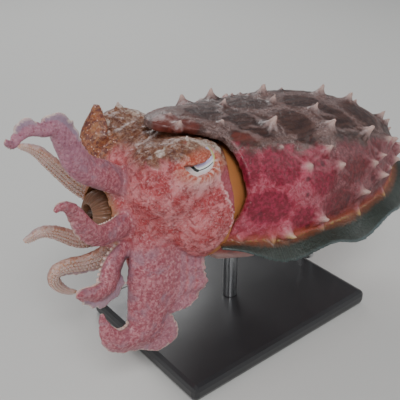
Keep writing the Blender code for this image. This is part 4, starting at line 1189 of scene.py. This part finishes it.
def eyeMaterial():
    material = startMaterial("wetEye", roughness=0.08, coatWeight=0.6, coatRoughness=0.04,
                             subsurfaceWeight=0.05, subsurfaceScale=0.001)
    across, rise = mask("across"), mask("rise")
    front = calc("LESS_THAN", across, eye["pupilMiddle"])
    bend = front * 0.41 + 0.03
    far = across - eye["pupilMiddle"]
    line = far * far * bend + eye["pupilLow"]
    slope = far * bend * 2.0
    steep = calc("SQRT", slope * slope + 1.0)
    above = (rise - line) / steep
    width = front * 0.28 + 0.2
    pupil = span(calc("ABSOLUTE", above) / width, 1.15, 0.85)
    pupil = pupil * (span(across, -5.0, -4.6) * span(across, 6.0, 5.4))
    cloud = noise(1.6, 3)
    ground = layer(cloud, (0.84, 0.86, 0.9), (0.9, 0.9, 0.88))
    ground = layer(span(above, 0.7, 1.5) * 0.9, ground, layer(cloud, (0.42, 0.38, 0.66), (0.58, 0.5, 0.72)))
    ground = layer(span(across, 5.2, 7.2) * 0.85, ground, (0.7, 0.72, 0.12))
    ground = layer(pupil, ground, (0.004, 0.004, 0.006))
    shade(baseColor=ground)
    return material


def makeEyes():
    material = eyeMaterial()
    for side, name in ((1, "eyeLeft"), (-1, "eyeRight")):
        _, back, up = eyeAxes(side)
        piece = joinAll(name, [ball((0, 0, 0), (head["eyeRadius"],) * 3, 128, 80)])
        points = pointsOf(piece)
        points = points + np.outer(points @ back * (eye["stretch"] - 1) + eye["shift"], back)
        setMasks(piece, across=points @ back, rise=points @ up)
        movePoints(piece, eyeMiddle(side) + points)
        finishPiece(piece, material, ("eye_left" if side > 0 else "eye_right",))


# Mouth

mouth = {
    "lips": ((5.0, 6.2), (0.0, 8.6), (-4.5, 8.0), (-7.4, 5.4), (-7.6, 3.9), (-2.7, 3.2)),
    "folds": 22, "foldDepth": 0.035,
    "beak": ((-3.0, 2.7), (-5.1, 2.6), (-7.1, 1.6), (-8.3, 0.5)),
}


def turnedForm(name, profile, columns, rows, shape):
    # a profile turned round the mouth's axis; shape gives the two radii and the shift upward
    line = smoothLine(profile, 8)
    steps = np.arange(len(line)) / (len(line) - 1)

    def place(around, along):
        x, radius = (np.interp(along, steps, line[:, k]) for k in range(2))
        turn = around * 2 * math.pi
        wide, tall, shift = shape(x, radius, turn)
        ring = np.stack([x, wide * np.cos(turn), tall * np.sin(turn) + shift], axis=1)
        return np.array(head["crown"]) + ring

    return wrapGrid(name, columns, rows, place)


def lipShape(x, radius, turn):
    deep = np.where(x > 0, 0, mouth["foldDepth"]) * (1 + 0.4 * np.sin(3 * turn + 1))
    radius = radius * (1 - deep * np.cos(mouth["folds"] * turn + 1.2 * np.sin(2 * turn)))
    return radius, radius, 0


def beakShape(x, radius, turn):
    radius = radius * (1 + 0.10 * np.cos(2 * turn) ** 8)
    return 0.75 * radius, radius, -0.5 * smooth(-5.5, -8, x)


def makeMouth():
    piece = turnedForm("mouthLips", mouth["lips"], 264, 60, lipShape)
    material = startMaterial("lipSkin", roughness=0.35, subsurfaceWeight=0.15, subsurfaceScale=0.002)
    mottle = noise(1.6, 4, 0.5)
    shade(baseColor=layer(mottle, (0.25, 0.125, 0.07), (0.12, 0.05, 0.028)), normal=relief(mottle, 0.3))
    finishPiece(piece, material, ("mouth_lips",))
    piece = turnedForm("beakHorn", mouth["beak"], 48, 30, beakShape)
    material = startMaterial("horn", roughness=0.22, coatWeight=0.3)
    rings = noise(0.7, 3, 2.0)
    shade(baseColor=layer(rings, (0.018, 0.008, 0.005), (0.09, 0.04, 0.02)), normal=relief(rings, 0.08))
    finishPiece(piece, material, ("beak",))


# Suckers

sucker = {"first": 0.24, "last": 0.975, "rows": (-0.66, -0.24, 0.20, 0.62), "size": 0.19,
          "least": 0.34, "most": 1.3, "spacing": 2.35, "stagger": 1.1, "end": 0.985}


def oneCup():
    # a short cup with a raised rim and a hollow
    deselectAll()
    bpy.ops.mesh.primitive_cylinder_add(vertices=10, radius=1, depth=1.4, end_fill_type="NGON")
    cup = bpy.context.object
    bpy.ops.object.mode_set(mode="EDIT")
    bpy.ops.mesh.select_mode(type="FACE")
    bpy.ops.mesh.select_all(action="DESELECT")
    bpy.ops.object.mode_set(mode="OBJECT")
    for face in cup.data.polygons:
        face.select = face.normal.z > 0.9
    bpy.ops.object.mode_set(mode="EDIT")
    bpy.ops.mesh.inset(thickness=0.30, depth=0.12)
    bpy.ops.mesh.inset(thickness=0.14, depth=-0.45)
    bpy.ops.object.mode_set(mode="OBJECT")
    return cup


def makeSuckers():
    cup = oneCup()
    shape = pointsOf(cup) * mm
    faces = [tuple(face.vertices) for face in cup.data.polygons]
    copies, count = [], 0
    for arm in arms.values():
        share = sucker["first"]
        while share < sucker["last"]:
            *_, core, _, _, length = armFrame(arm, np.array([share]))
            radius = float(np.clip(sucker["size"] * core[0], sucker["least"], sucker["most"]))
            for row, across in enumerate(sucker["rows"]):
                shift = (row % 2) * radius * sucker["stagger"] / length
                here = np.array([min(share + shift, sucker["end"])])
                middle, along, face, side, core, thick, _, _ = armFrame(arm, here)
                deep = thick[0] * (0.98 - 0.42 * abs(across + 0.05) ** 1.6)
                normal = unit(-face[0] + side[0] * (arm["keelSide"] * across * 0.5))
                root = middle[0] + side[0] * (arm["keelSide"] * across * core[0]) - face[0] * deep
                first = unit(np.cross(normal, along[0]))
                other = np.cross(normal, first)
                size = radius * (0.85 if row in (0, 3) else 1.0)
                turned = shape[:, :1] * first + shape[:, 1:2] * other + (shape[:, 2:] + 0.25) * normal
                copies.append(root + turned * size)
                count += 1
            share += radius * sucker["spacing"] / length
    allFaces = [tuple(v + k * len(shape) for v in face) for k in range(count) for face in faces]
    mesh = bpy.data.meshes.new("suckers")
    mesh.from_pydata((np.vstack(copies) * mm).tolist(), [], allFaces)
    piece = bpy.data.objects.new("suckers", mesh)
    bpy.context.scene.collection.objects.link(piece)
    bpy.data.objects.remove(cup)
    material = startMaterial("suckerSkin", roughness=0.35, subsurfaceWeight=0.15, subsurfaceScale=0.001)
    shade(baseColor=layer(noise(1.2), (0.72, 0.56, 0.5), (0.58, 0.4, 0.36)),
          normal=relief(noise(0.3, 2), 0.05))
    finishPiece(piece, material)
    print("suckers", count)


# Stand

def makeStand():
    lacquer = startMaterial("satinLacquer", coatWeight=0.2, coatRoughness=0.2)
    shade(baseColor=layer(noise(30), (0.018, 0.018, 0.02), (0.03, 0.03, 0.033)),
          roughness=span(noise(12, 4), 0.2, 0.8, 0.3, 0.42), normal=relief(noise(0.8, 2), 0.02))
    steel = startMaterial("brushedSteel", metallic=1.0)
    brush = noise(0.25, 2, 0, (1, 1, 0.03))
    shade(baseColor=layer(brush, (0.5, 0.51, 0.53), (0.62, 0.63, 0.64)),
          roughness=span(brush, 0.2, 0.8, 0.22, 0.38))
    for name, material in (("stand_base", lacquer), ("stand_rod_front", steel), ("stand_rod_rear", steel)):
        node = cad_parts[name]
        node.data.materials.clear()
        node.data.materials.append(material)


# All together

makeStudio()
makeCamera()
print("studio done")
makeMantle()
print("mantle done")
makeHead()
print("head done")
makeEyes()
makeMouth()
makeSuckers()
makeStand()
print("small pieces done")

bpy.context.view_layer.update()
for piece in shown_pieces():
    print(piece.name, sum(len(face.vertices) - 2 for face in piece.data.polygons))
